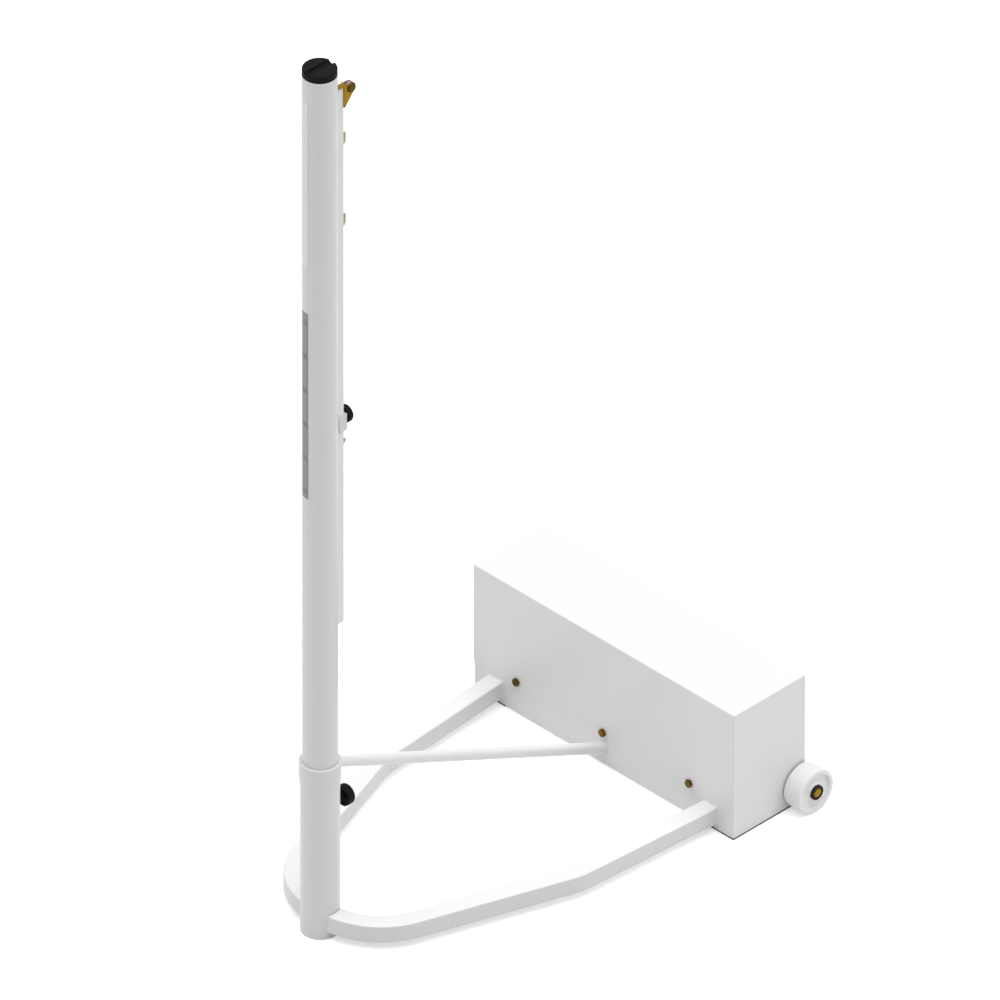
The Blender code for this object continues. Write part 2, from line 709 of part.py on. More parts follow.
def rail_nut_rings(low, high):
    """Block that slides in the channel."""
    half = RAIL_WIDTH / 2 - RAIL_WALL - SLIDE_FIT
    front = RAIL_FRONT + RAIL_WALL + SLIDE_FIT
    back = RAIL_BACK - RAIL_WALL - SLIDE_FIT
    return block_rings((-half, front, low), (half, back, high), 2 * SLIDE_FIT)


def rod_rings(route, radius, count=12):
    """Rings of a round rod along points in the plane X = 0, with a rounded last end."""
    rings = []
    for i, point in enumerate(route):
        into = (route[i] - route[i - 1]).normalized() if i else (route[1] - route[0]).normalized()
        out = (route[i + 1] - route[i]).normalized() if i + 1 < len(route) else into
        along = (into + out).normalized()
        upward = Vector((0, -along.z, along.y))
        ring = []
        for j in range(count):
            angle = 2 * math.pi * j / count
            ring.append(point + radius * (math.cos(angle) * Vector((1, 0, 0)) + math.sin(angle) * upward))
        rings.append(ring)
    tip = route[-1]
    last = rings.pop()
    rings.append([point - Vector((0, 0, radius / 2)) for point in last])
    rings.append([tip + (point - tip) * HOOK_TIP_SHARE for point in last])
    return rings


def make_hooks():
    """Hooks for the net's ropes: a bent rod on a block that slides in the rail."""
    for label, drop, length in HOOKS:
        name = f"rope_hook_{label}"
        tip_z = RAIL_TOP - drop
        run_z = tip_z - length - HOOK_BEND
        route = [Vector((0, RAIL_FRONT + RAIL_DEPTH / 2, run_z))]
        for i in range(5):
            angle = math.pi / 2 * i / 4
            y = HOOK_Y - HOOK_BEND + HOOK_BEND * math.sin(angle)
            route.append(Vector((0, y, run_z + HOOK_BEND * (1 - math.cos(angle)))))
        route.append(Vector((0, HOOK_Y, tip_z)))
        hook = add_piece(name, [(rod_rings(route, HOOK_ROD / 2), False)], yellow_zinc(name))
        rings = rail_nut_rings(run_z - HOOK_BLOCK / 2, run_z + HOOK_BLOCK / 2)
        block = add_piece(name + "_block", [(rings, False)])
        change_shape(hook, "UNION", block)


def knob_rings(radius, depth, stud_d, neck=0.0):
    """Rings of a fluted knob, hollow round its hub and with a blind hole; its rim starts at height 0."""
    count = 4 * KNOB_FLUTES
    hole = stud_d / 2 + GAP
    hub = hole + KNOB_HUB_WALL
    rings = [
        circle(hole, depth * STUD_GRIP + GAP, count),
        circle(hole, -neck, count),
        circle(hub, -neck, count),
        circle(hub, KNOB_HOLLOW, count),
        circle(radius * KNOB_HOLLOW_SHARE, KNOB_HOLLOW, count),
        circle(radius * KNOB_RIM_SHARE, 0, count),
    ]
    for share, height, flute in KNOB_OUTLINE:
        rings.append(fluted(radius * share, depth * height, KNOB_FLUTE_DEPTH * flute, count))
    rings.append(circle(radius * KNOB_DISH_SHARE, depth * KNOB_DISH_HEIGHT, count))
    return rings


def stud_rings(diameter, low, high):
    """Rings of a stud with chamfered ends."""
    radius = diameter / 2
    chamfer = radius / 4
    return [
        circle(radius - chamfer, low, SMALL),
        circle(radius, low + chamfer, SMALL),
        circle(radius, high - chamfer, SMALL),
        circle(radius - chamfer, high, SMALL),
    ]


def make_carriage():
    """Block that wraps the rail, clamped to it by a knob whose stud pulls on a nut inside the channel."""
    outer = RAIL_WIDTH / 2 + SLIDE_FIT + CARRIAGE_CHEEK
    inner = RAIL_WIDTH / 2 + SLIDE_FIT
    pocket = RAIL_BACK + SLIDE_FIT
    front = pocket - CARRIAGE_WRAP
    edge = CARRIAGE_CHEEK / 2
    outline = [
        (inner, front),
        (outer - edge, front),
        (outer, front + edge),
        (outer, CARRIAGE_END - edge),
        (outer - edge, CARRIAGE_END),
        (-outer + edge, CARRIAGE_END),
        (-outer, CARRIAGE_END - edge),
        (-outer, front + edge),
        (-outer + edge, front),
        (-inner, front),
        (-inner, pocket),
        (inner, pocket),
    ]
    high = CARRIAGE_HEIGHT + CARRIAGE_ABOVE
    rings = [[Vector((x, y, z)) for x, y in outline] for z in (high - CARRIAGE_LENGTH, high)]
    block = add_piece("carriage_block", [(rings, False)], white_paint("carriage_block"))
    half_nut = CARRIAGE_NUT_LENGTH / 2
    rings = rail_nut_rings(CARRIAGE_HEIGHT - half_nut, CARRIAGE_HEIGHT + half_nut)
    nut = add_piece("carriage_nut", [(rings, False)], plain_steel("carriage_nut"))
    middle = (0, RAIL_FRONT, CARRIAGE_HEIGHT)
    hole = make_cylinder("carriage_stud_hole", CARRIAGE_STUD_D / 2 + GAP, middle, 2 * TUBE_R, ALONG_Y)
    cut(block, hole)
    cut(nut, hole)
    near = CARRIAGE_END + GAP
    place = (0, near, CARRIAGE_HEIGHT)
    rings = knob_rings(CARRIAGE_KNOB_R, CARRIAGE_KNOB_DEPTH, CARRIAGE_STUD_D)
    add_piece("carriage_knob", [(rings, False)], black_plastic("carriage_knob"), place, ALONG_Y)
    tip = RAIL_FRONT + RAIL_WALL + CARRIAGE_STUD_D / 2 - near
    rings = stud_rings(CARRIAGE_STUD_D, tip, CARRIAGE_KNOB_DEPTH * STUD_GRIP)
    add_piece("carriage_stud", [(rings, False)], plain_steel("carriage_stud"), place, ALONG_Y)


def make_clamp():
    """Boss, stud and knob that hold the post in the sleeve."""
    boss_start = SLEEVE_R - SLEEVE_WALL
    boss_end = SLEEVE_R + CLAMP_BOSS_LENGTH
    rings = tube_rings(CLAMP_BOSS_R, CLAMP_STUD_D / 2 + GAP, boss_start, boss_end, MEDIUM)
    place = (0, 0, CLAMP_HEIGHT)
    boss = add_piece("clamp_boss", [(rings, True)], white_paint("clamp_boss"), place, ALONG_Y)
    low = CLAMP_HEIGHT - 2 * CLAMP_BOSS_R
    saddle = make_cylinder("boss_saddle", SLEEVE_R + GAP, (0, 0, low), 4 * CLAMP_BOSS_R, count=2 * ROUND)
    cut(boss, saddle)
    near = boss_end + GAP + CLAMP_NECK
    place = (0, near, CLAMP_HEIGHT)
    rings = knob_rings(CLAMP_KNOB_R, CLAMP_KNOB_DEPTH, CLAMP_STUD_D, CLAMP_NECK)
    add_piece("clamp_knob", [(rings, False)], black_plastic("clamp_knob"), place, ALONG_Y)
    tip = TUBE_R + GAP - near
    rings = stud_rings(CLAMP_STUD_D, tip, CLAMP_KNOB_DEPTH * STUD_GRIP)
    add_piece("clamp_stud", [(rings, False)], plain_steel("clamp_stud"), place, ALONG_Y)


def arc(radius, first, last, steps):
    """Points (Y, Z) on a circle about the pulley's axle, from one angle in degrees to another."""
    angles = [math.radians(first + (last - first) * i / steps) for i in range(steps + 1)]
    return [(PULLEY_Y + radius * math.cos(a), PULLEY_Z + radius * math.sin(a)) for a in angles]


def outer_cheek():
    """Outline (Y, Z) of the outer cheek: a tab on the rail, a round end about the axle and a pointed tail."""
    back = RAIL_BACK - CHEEK_OVERLAP
    tab_front = RAIL_BACK - CHEEK_TAB_LENGTH
    tail_z = RAIL_TOP - CHEEK_TAIL
    points = [(tab_front, RAIL_TOP - CHEEK_TAB_HEIGHT), (tab_front, RAIL_TOP), (back, RAIL_TOP)]
    points.append((back + CHEEK_DIP_LENGTH, RAIL_TOP - CHEEK_DIP))
    points += arc(CHEEK_ROUND, 120, -45, 12)
    points += [(back + CHEEK_TAIL_WIDTH, tail_z), (back, tail_z), (back, RAIL_TOP - CHEEK_TAB_HEIGHT)]
    return points


def inner_cheek():
    """Outline (Y, Z) of the inner cheek, whose foot is joined to the slot's edge."""
    foot = RAIL_BACK - RAIL_WALL
    points = [(foot, PULLEY_Z - CHEEK_ROUND), (foot, PULLEY_Z + CHEEK_ROUND)]
    return points + arc(CHEEK_ROUND, 90, -90, 12)


def pulley_rings():
    """Turned section of the pulley about its middle."""
    bore = PULLEY_AXLE_D / 2 + RUNNING_FIT
    hub = (CHEEK_NEAR - INNER_CHEEK_NEAR) / 2 - GAP
    half = hub - PULLEY_RIM
    shape = [(bore, -hub), (PULLEY_HUB_R, -hub), (PULLEY_HUB_R, -half)]
    shape += [(PULLEY_R - GAP, -half), (PULLEY_R, GAP - half)]
    for i in range(5):
        angle = math.pi * i / 4
        width = half - 2 * GAP
        shape.append((PULLEY_R - PULLEY_GROOVE * math.sin(angle), -width * math.cos(angle)))
    shape += [(PULLEY_R, half - GAP), (PULLEY_R - GAP, half)]
    shape += [(PULLEY_HUB_R, half), (PULLEY_HUB_R, hub), (bore, hub)]
    return [circle(radius, height, SMALL) for radius, height in shape]


def make_pulley():
    """Grooved pulley on an axle between a cheek on the rail's side and one on the slot's edge."""
    start = (-2 * CHEEK_FAR, PULLEY_Y, PULLEY_Z)
    hole = make_cylinder("cheek_axle_hole", PULLEY_AXLE_D / 2 + GAP, start, 4 * CHEEK_FAR, ALONG_X)
    cheeks = (
        ("pulley_cheek_right", outer_cheek(), (CHEEK_NEAR, CHEEK_FAR)),
        ("pulley_cheek_left", inner_cheek(), (INNER_CHEEK_FAR, INNER_CHEEK_NEAR)),
    )
    for name, outline, faces in cheeks:
        rings = [[Vector((x, y, z)) for y, z in outline] for x in faces]
        cheek = add_piece(name, [(rings, False)], yellow_zinc(name))
        cut(cheek, hole)
    middle = ((CHEEK_NEAR + INNER_CHEEK_NEAR) / 2, PULLEY_Y, PULLEY_Z)
    material = make_material("pulley_grey", (0.42, 0.42, 0.46), 0.5, 0.0)
    add_piece("pulley", [(pulley_rings(), True)], material, middle, ALONG_X)
    place = (0, PULLEY_Y, PULLEY_Z)
    radius = PULLEY_AXLE_D / 2
    reach = CHEEK_FAR + GAP
    nut_start = INNER_CHEEK_FAR - GAP
    end = nut_start - PULLEY_NUT - THREAD_END / 2
    rings = [circle(radius, end, SMALL), circle(radius, reach, SMALL), circle(PULLEY_HEAD_R, reach, SMALL)]
    for i in range(4):
        angle = math.pi / 2 * i / 4
        height = PULLEY_HEAD * (PULLEY_HEAD_SIDE + (1 - PULLEY_HEAD_SIDE) * math.sin(angle))
        width = PULLEY_HEAD_R * (PULLEY_HEAD_FLAT + (1 - PULLEY_HEAD_FLAT) * math.cos(angle))
        rings.append(circle(width, reach + height, SMALL))
    material = make_material("pulley_axle_brown", (0.05, 0.03, 0.01), 0.4, 0.8)
    add_piece("pulley_axle", [(rings, False)], material, place, ALONG_X)
    rings = nut_rings(PULLEY_AXLE_D, PULLEY_NUT_FLATS, PULLEY_NUT)
    nut_place = (nut_start, PULLEY_Y, PULLEY_Z)
    add_piece("pulley_nut", [(rings, True)], yellow_zinc("pulley_nut"), nut_place, ALONG_MINUS_X)


def make_strip(name, span, colour):
    """Thin strip that lies round the front of the tube."""
    inner = TUBE_R + GAP
    outer = inner + STRIP_THICKNESS
    steps = 10
    angles = [-math.pi / 2 - STRIP_CENTRE - STRIP_ARC / 2 + STRIP_ARC * i / steps for i in range(steps + 1)]
    outline = [(outer * math.cos(a), outer * math.sin(a)) for a in angles]
    outline += [(inner * math.cos(a), inner * math.sin(a)) for a in reversed(angles)]
    rings = [[Vector((x, y, z)) for x, y in outline] for z in span]
    add_piece(name, [(rings, False)], make_material(name + "_film", colour, 0.5, 0.0))


def build():
    """Make every piece of the post."""
    clear_scene()
    make_sleeve()
    make_legs()
    make_brace()
    make_box()
    make_ballast()
    make_box_bolts()
    make_wheels()
    make_clamp()
    make_post_tube()
    make_cap()
    make_rail()
    make_hooks()
    make_carriage()
    make_pulley()
    make_strip("scale_strip", SCALE_SPAN, (0.28, 0.29, 0.31))
    make_strip("blank_label", LABEL_SPAN, (0.85, 0.86, 0.87))


build()
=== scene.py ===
"""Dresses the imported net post: finer pieces round its frame, their finishes, a floor, lights and a camera.

Sizes are in metres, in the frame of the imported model: the origin is on the post's axis at floor level,
+Z is up, -Y faces the court and +Y points to the ballast box. Pieces are built where they stand, so a
pattern on Object coordinates has the real scale.
"""

import json
import math

import bmesh
import bpy
from mathutils import Matrix, Vector


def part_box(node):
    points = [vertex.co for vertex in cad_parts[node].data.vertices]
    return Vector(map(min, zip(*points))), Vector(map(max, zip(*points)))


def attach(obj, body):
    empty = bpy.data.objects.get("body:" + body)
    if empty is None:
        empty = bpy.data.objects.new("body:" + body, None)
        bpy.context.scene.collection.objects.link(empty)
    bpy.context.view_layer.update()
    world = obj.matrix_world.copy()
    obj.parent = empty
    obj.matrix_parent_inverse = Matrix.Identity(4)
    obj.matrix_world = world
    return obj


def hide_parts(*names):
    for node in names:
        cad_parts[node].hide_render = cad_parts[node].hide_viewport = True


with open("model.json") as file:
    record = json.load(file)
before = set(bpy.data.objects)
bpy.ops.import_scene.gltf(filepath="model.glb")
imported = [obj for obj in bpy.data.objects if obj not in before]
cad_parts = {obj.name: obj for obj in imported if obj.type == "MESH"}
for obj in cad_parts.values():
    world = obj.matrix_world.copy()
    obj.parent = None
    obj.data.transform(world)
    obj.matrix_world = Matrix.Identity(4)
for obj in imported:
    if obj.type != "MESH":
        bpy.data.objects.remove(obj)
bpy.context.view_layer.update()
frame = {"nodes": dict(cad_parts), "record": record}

# Camera: a long lens far away, because the photograph shows no perspective
SENSOR = 36.0
HALF_ANGLE = math.radians(0.62)
AZIMUTH = math.radians(45.023)
ELEVATION = math.radians(35.38)
ROLL = math.radians(0.126)
AIM_RIGHT = 0.43988
AIM_UP = 1.04763
DISTANCE = 113.0

# Stage and lights: name, azimuth and elevation that each comes from, level and spread
FLOOR_RADIUS = 40.0
FLOOR_LIFT = 0.45
WORLD_LEVEL = 0.20
BACKGROUND = 1.0
LAMPS = (
    ("overhead", 45.0, 86.5, 0.80, 70.0),
    ("side_right", 128.0, 32.0, 0.155, 40.0),
    ("side_left", -45.0, 32.0, 0.112, 40.0),
)

# Facets and shading
ROUND = 128
MEDIUM = 64
SMALL = 40
ROUNDING = 4
RING_STEP = 0.05
SHARP_ANGLE = 32.0
SOFT_EDGE = 0.0006
SOFT_ANGLE = math.radians(40.0)
SOFT_STEPS = 2
TINY = 0.000001
FIT = 0.0003

# Post
TUBE_WALL = 0.003
TUBE_LIP = 0.0006
CAP_EDGE = 0.004
CAP_THICKNESS = 0.0197
GROOVE_WIDTH = 0.021

# Sleeve and foot
SLEEVE_WALL = 0.00415
COLLAR_SWELL = 0.0038
COLLAR_LOW = 0.457
COLLAR_TAPER = 0.023
COLLAR_BLEND = 0.0092
COLLAR_EDGE = 0.0012
LINER_FIT = 0.0002
LINER_HEIGHT = 0.020
BOSS_RADIUS = 0.013
BOSS_BORE = 0.0063

# Legs of square tube
LEG_SIZE = 0.050
LEG_EDGE = 0.0045
LEG_MIDDLE = 0.046
LEG_SET_BACK = 0.0015
LEG_BEND = 0.193
LEG_SPLAY = math.radians(19.1)
LEG_TOE = math.radians(4.1)
LEG_KNEE_REACH = 0.429
LEG_END_SPREAD = 0.3732
JOINT_GROOVE = 0.0016
JOINT_DEPTH = 0.004

# Round brace
BRACE_RADIUS = 0.015
BRACE_HEAD = 0.477
BRACE_FOOT = 0.049

# Box
BOX_EDGE = 0.0032
BOX_SHEET = 0.0025
NOTCH_WIDTH = 0.006
NOTCH_LENGTH = 0.030
NOTCH_TOP = 0.084

# Weld beads
BEAD = 0.0019
BEAD_RIPPLE = 0.0034
BEAD_SIDES = 2
BEAD_SWELL = 0.16
BEAD_SHARP = 60.0

# Bolts: a head's flat face is a share of its flats, and the cone that turns it off reaches past its corners
BOLT_FACE = 0.475
BOLT_CONE = 1.1
BOLT_SLOPE = math.tan(math.radians(30.0))
BOX_BOLT_HEAD = 0.0075
BOX_BOLT_RADIUS = 0.006
BOX_BOLT_TURNS = (0.12, 0.55, 0.30)
WHEEL_BOLT_FLATS = 0.022
WHEEL_BOLT_HEAD = 0.004
WHEEL_BOLT_RADIUS = 0.008
WHEEL_BOLT_TURN = 0.3
CUP_FLOOR = 0.003
CUP_RADIUS = 0.0132

# Wheels
WHEEL_RIM = 0.011
WHEEL_RECESS = 0.008
WHEEL_HUB = 0.0215
WHEEL_HUB_SET_IN = 0.002
WHEEL_BORE = 0.0085
WHEEL_EDGE = 0.003
WHEEL_SOFT = 0.0012
WHEEL_FILLET = 0.0021

# Rod hooks
HOOK_RADIUS = 0.0035
HOOK_BEND = 0.010
BLOCK_LENGTH = 0.030
SLIDE_DEPTH = 0.0168
HOOK_TIPS = {"rope_hook_upper": 0.024, "rope_hook_middle": 0.024, "rope_hook_lower": 0.003}

# Knobs: the shares are of the radius
KNOB_LOBES = 10
LOBE_SIDES = 12
KNOB_DISH = 0.0009
KNOB_FLUTE = 0.0005
KNOB_HOLLOW = 0.0045
KNOB_WALL = 0.0052
FLUTE_SHARE = 0.9
HOLLOW_SHARE = 0.76
RIM_SHARE = 0.80
RIM_ROUND = 0.04
SHOULDER_ROUND = 0.22
CROWN_SHARE = 0.66
DISH_SHARE = 0.5
DISH_ROUND = 0.06
STUD_GRIP = 0.6
CARRIAGE_Z = 1.5005
CARRIAGE_STUD = 0.004
CLAMP_Z = 0.361
CLAMP_STUD = 0.006
CLAMP_NECK = 0.018

# Pulley
PULLEY_GROOVE = 0.0030
PULLEY_RIM = 0.0005
PULLEY_HUB = 0.008
PULLEY_BORE = 0.0045
PULLEY_FLOOR = 0.5
PULLEY_FILLET = 0.4
PIN_RADIUS = 0.004
PIN_DOME = 0.85

# Strips round the front of the tube; tick sizes are a share of the width and a thickness
STRIP_FROM = math.radians(-117.0)
STRIP_TO = math.radians(-84.0)
EDGE_ANGLE = math.radians(1.5)
BORDER_ANGLE = math.radians(1.2)
FILM = 0.00035
FILM_STEPS = 12
FILM_MARGIN = 0.0025
INK_HEIGHT = 0.00006
TICK_STEP = 0.010
TICKS = 60
TICKS_PER_NUMBER = 10
TICK_SIZES = ((0.95, 0.0022), (0.50, 0.0012), (0.32, 0.0010))
NUMBER_CUTS = 12
NUMBER_SIZE = 0.0125
NUMBER_RISE = 0.0075
FIRST_NUMBER = 200
FIRST_MARK = 1.3255

X_AXIS = Vector((1, 0, 0))
Y_AXIS = Vector((0, 1, 0))
Z_AXIS = Vector((0, 0, 1))

# Turns that lay a piece built along +Z on another axis
ALONG_X = Matrix.Rotation(math.radians(90), 4, "Y")
ALONG_MINUS_X = Matrix.Rotation(math.radians(-90), 4, "Y")
ALONG_Y = Matrix.Rotation(math.radians(-90), 4, "X")
ALONG_MINUS_Y = Matrix.Rotation(math.radians(90), 4, "X")
WHEEL_SIDES = (("right", 1, ALONG_X), ("left", -1, ALONG_MINUS_X))


class Value:
    """A number or colour that a shader node gives, so that shader maths reads as an expression."""

    def __init__(self, owner, socket):
        self.owner = owner
        self.socket = socket

    def maths(self, operation, *others):
        """Result of a shader maths operation on this value and others."""
        return self.owner.node("ShaderNodeMath", {"operation": operation}, self, *others)

    def __add__(self, other):
        return self.maths("ADD", other)

    def __sub__(self, other):
        return self.maths("SUBTRACT", other)

    def __mul__(self, other):
        return self.maths("MULTIPLY", other)

    def __radd__(self, other):
        return self + other

    def __rmul__(self, other):
        return self * other

    def step(self, low, high):
        """0 below low and 1 above high, smooth between; turned round where high is the smaller."""
        settings = {"interpolation_type": "SMOOTHSTEP"}
        if low < high:
            return self.owner.node("ShaderNodeMapRange", settings, self, low, high, 0.0, 1.0)
        return self.owner.node("ShaderNodeMapRange", settings, self, high, low, 1.0, 0.0)


class Tree:
    """A node tree of a material or of the world."""

    def __init__(self, tree):
        self.tree = tree

    def node(self, kind, settings=None, *values, out=0, **named):
        """Add a node: its settings first, then its inputs in order or by name. Returns one output."""
        made = self.tree.nodes.new(kind)
        for key, setting in (settings or {}).items():
            setattr(made, key, setting)
        for key, value in [*enumerate(values), *named.items()]:
            self.feed(made.inputs[key], value)
        return Value(self, made.outputs[out])

    def feed(self, socket, value):
        """Link a value to a socket, or set the socket to a plain number or colour."""
        if isinstance(value, Value):
            self.tree.links.new(value.socket, socket)
        elif value is not None:
            socket.default_value = value


class Finish(Tree):
    """A material: its Principled shader and the patterns that feed it."""

    def __init__(self, name, **constants):
        self.material = bpy.data.materials.new(name)
        self.material.use_nodes = True
        super().__init__(self.material.node_tree)
        self.shader = self.tree.nodes["Principled BSDF"]
        for socket, value in constants.items():
            self.shader.inputs[socket.replace("_", " ")].default_value = value
        self.place = self.node("ShaderNodeTexCoord", out="Object")

    def scaled(self, x, y, z):
        """Object coordinates stretched along the axes."""
        return self.node("ShaderNodeVectorMath", {"operation": "MULTIPLY"}, self.place, (x, y, z))

    def noise(self, scale, detail=2.0, roughness=0.5, place=None):
        """Noise of about scale waves in a metre, from 0 to 1."""
        return self.node("ShaderNodeTexNoise", None, place or self.place, None, scale, detail, roughness)

    def cells(self, scale):
        """Distance to the cell centres of a Voronoi pattern."""
        return self.node("ShaderNodeTexVoronoi", None, self.place, None, scale, out="Distance")

    def axes(self):
        """X, Y and Z of the point, in metres."""
        split = self.tree.nodes.new("ShaderNodeSeparateXYZ")
        self.tree.links.new(self.place.socket, split.inputs[0])
        return [Value(self, output) for output in split.outputs]

    def upward(self):
        """1 on faces that look up and 0 on upright ones: the mask that paints light onto tops."""
        split = self.tree.nodes.new("ShaderNodeSeparateXYZ")
        self.tree.links.new(self.node("ShaderNodeNewGeometry", out="Normal").socket, split.inputs[0])
        return Value(self, split.outputs[2]).step(0.5, 0.9)

    def mix(self, factor, first, second):
        """Blend of two colours."""
        made = self.tree.nodes.new("ShaderNodeMix")
        made.data_type = "RGBA"
        self.feed(made.inputs[0], factor)
        for socket, colour in ((made.inputs[6], first), (made.inputs[7], second)):
            self.feed(socket, colour if isinstance(colour, Value) else (*colour, 1.0))
        return Value(self, made.outputs[2])

    def bump(self, height, depth, strength=1.0):
        """Normal from a height pattern whose full range is depth metres."""
        return self.node("ShaderNodeBump", None, Strength=strength, Distance=depth, Height=height)

    def set(self, **inputs):
        """Feed the shader's own sockets with patterns; returns the material."""
        for socket, value in inputs.items():
            self.feed(self.shader.inputs[socket.replace("_", " ")], value)
        return self.material


def powder_coat(name, tint, lit_top_tone=None):
    """Satin powder coat with a faint orange peel; the optional second tone is a lighter colour painted on faces
    that look up, as painted light from above.
    """
    finish = Finish(name, IOR=1.5)
    patches = finish.noise(5.0, 3.0, 0.55)
    peel = finish.noise(420.0, 2.0, 0.5)
    grain = finish.noise(1600.0, 1.0, 0.5)
    height = finish.axes()[2]
    scuffed = height.step(0.035, 0.0) * finish.noise(90.0, 4.0, 0.65).step(0.45, 0.7)
    clean = finish.mix(patches, [0.97 * part for part in tint], tint)
    # Painted light: faces that look up get a lighter colour than upright faces.
    if lit_top_tone:
        clean = finish.mix(finish.upward(), clean, lit_top_tone)
    colour = finish.mix(scuffed * 0.35, clean, (0.55, 0.545, 0.53))
    return finish.set(
        Base_Color=colour,
        Roughness=0.30 + 0.12 * patches + 0.15 * scuffed,
        Normal=finish.bump(peel * 0.8 + grain * 0.2, 0.00022, 0.35),
    )


def zinc_plate(name, gold, green, rose, scratch):
    """Chromate on zinc plate: a tint that drifts to green and rose, with fine scratches."""
    finish = Finish(name, Metallic=1.0)
    drift = finish.noise(55.0, 3.0, 0.6)
    spots = finish.noise(170.0, 2.0, 0.5)
    lines = finish.noise(300.0, 3.0, 0.6, finish.scaled(1.0, 1.0, 9.0))
    tinted = finish.mix(spots.step(0.58, 0.75) * 0.5, finish.mix(drift.step(0.35, 0.65), gold, green), rose)
    return finish.set(
        Base_Color=finish.mix(lines.step(0.55, 0.8) * 0.25, tinted, scratch),
        Roughness=0.26 + 0.16 * lines + 0.08 * drift,
        Normal=finish.bump(lines, 0.00004, 0.5),
    )


def black_plastic(name, dark, pale):
    """Black moulded plastic with a fine spark-eroded grain."""
    finish = Finish(name, IOR=1.48, Specular_IOR_Level=0.07)
    grain = finish.noise(1500.0, 2.0, 0.5)
    patches = finish.noise(40.0, 3.0, 0.5)
    return finish.set(
        Base_Color=finish.mix(patches, dark, pale),
        Roughness=0.48 + 0.14 * grain + 0.06 * patches,
        Normal=finish.bump(grain, 0.00006, 0.45),
    )


def white_nylon():
    """White moulded nylon with faint flow marks and rolling dust."""
    finish = Finish("white_nylon", IOR=1.53)
    flow = finish.noise(26.0, 3.0, 0.6)
    dust = finish.noise(240.0, 4.0, 0.7).step(0.56, 0.78)
    clean = finish.mix(flow, (0.865, 0.865, 0.86), (0.89, 0.89, 0.885))
    return finish.set(
        Base_Color=finish.mix(dust * 0.12, clean, (0.5, 0.49, 0.46)),
        Roughness=0.34 + 0.14 * flow + 0.2 * dust,
        Normal=finish.bump(finish.noise(700.0, 2.0, 0.5), 0.00005, 0.35),
    )


def plain_steel():
    """Bright zinc on steel, with its small spangle."""
    finish = Finish("plain_steel", Metallic=1.0)
    spangle = finish.cells(380.0)
    streaks = finish.noise(260.0, 3.0, 0.6, finish.scaled(1.0, 6.0, 1.0))
    return finish.set(
        Base_Color=finish.mix(spangle, (0.50, 0.50, 0.51), (0.36, 0.37, 0.39)),
        Roughness=0.26 + 0.2 * streaks,
        Normal=finish.bump(streaks, 0.00004, 0.5),
    )


def sheet_rubber():
    """Black sheet rubber with a cloth-pressed face."""
    finish = Finish("sheet_rubber", IOR=1.5)
    x, y, _ = finish.axes()
    weave = (x * 2600.0).maths("SINE") * (y * 2600.0).maths("SINE")
    wear = finish.noise(60.0, 4.0, 0.6)
    return finish.set(
        Base_Color=finish.mix(wear, (0.018, 0.018, 0.018), (0.045, 0.044, 0.042)),
        Roughness=0.72 + 0.18 * wear,
        Normal=finish.bump(weave + finish.noise(900.0, 3.0, 0.6), 0.00012, 0.5),
    )


def cast_iron():
    """Rough casting under thin black paint, with a little rust."""
    finish = Finish("cast_iron", Metallic=0.2)
    pits = finish.noise(420.0, 5.0, 0.65)
    rust = finish.noise(30.0, 5.0, 0.7).step(0.55, 0.72)
    return finish.set(
        Base_Color=finish.mix(rust * 0.6, (0.035, 0.034, 0.033), (0.16, 0.065, 0.028)),
        Roughness=0.62 + 0.25 * rust,
        Normal=finish.bump(pits, 0.0005, 0.7),
    )


def grey_nylon():
    """Grey moulded nylon of the pulley, a little lilac."""
    finish = Finish("grey_nylon", IOR=1.53)
    flow = finish.noise(120.0, 3.0, 0.6)
    return finish.set(
        Base_Color=finish.mix(flow, (0.25, 0.205, 0.33), (0.32, 0.265, 0.40)),
        Roughness=0.40 + 0.12 * flow,
        Normal=finish.bump(finish.noise(1500.0, 2.0, 0.5), 0.00004, 0.4),
    )


def dark_zinc():
    """Dark yellow zinc of the pulley's axle, brown where it is worn."""
    finish = Finish("dark_zinc", Metallic=0.95)
    drift = finish.noise(220.0, 3.0, 0.6)
    return finish.set(
        Base_Color=finish.mix(drift, (0.075, 0.032, 0.002), (0.095, 0.053, 0.002)),
        Roughness=0.34 + 0.2 * drift,
        Normal=finish.bump(drift, 0.00005, 0.5),
    )


def scale_film():
    """Grey film of the height scale, a little bluish."""
    finish = Finish("scale_film", IOR=1.48)
    fibres = finish.noise(500.0, 3.0, 0.6, finish.scaled(1.0, 1.0, 0.2))
    return finish.set(
        Base_Color=finish.mix(fibres, (0.245, 0.25, 0.27), (0.295, 0.30, 0.32)),
        Roughness=0.34 + 0.14 * fibres,
        Normal=finish.bump(fibres, 0.00003, 0.3),
    )


def scale_ink():
    """Dark print on the scale."""
    finish = Finish("scale_ink", IOR=1.48)
    cover = finish.noise(900.0, 3.0, 0.6)
    return finish.set(
        Base_Color=finish.mix(cover, (0.07, 0.072, 0.08), (0.12, 0.122, 0.13)),
        Roughness=0.4 + 0.1 * cover,
    )


def label_film():
    """White film on the tube, smoother than the paint."""
    finish = Finish("label_film", IOR=1.48, Specular_IOR_Level=0.3)
    flow = finish.noise(70.0, 3.0, 0.6)
    return finish.set(
        Base_Color=finish.mix(flow, (0.82, 0.824, 0.828), (0.845, 0.849, 0.853)),
        Roughness=0.42 + 0.1 * flow,
        Normal=finish.bump(flow, 0.00002, 0.3),
    )


def border_film():
    """Pale grey border along the label's edge."""
    finish = Finish("border_film", IOR=1.48)
    flow = finish.noise(70.0, 3.0, 0.6)
    return finish.set(
        Base_Color=finish.mix(flow, (0.50, 0.505, 0.515), (0.55, 0.555, 0.565)),
        Roughness=0.42 + 0.1 * flow,
    )


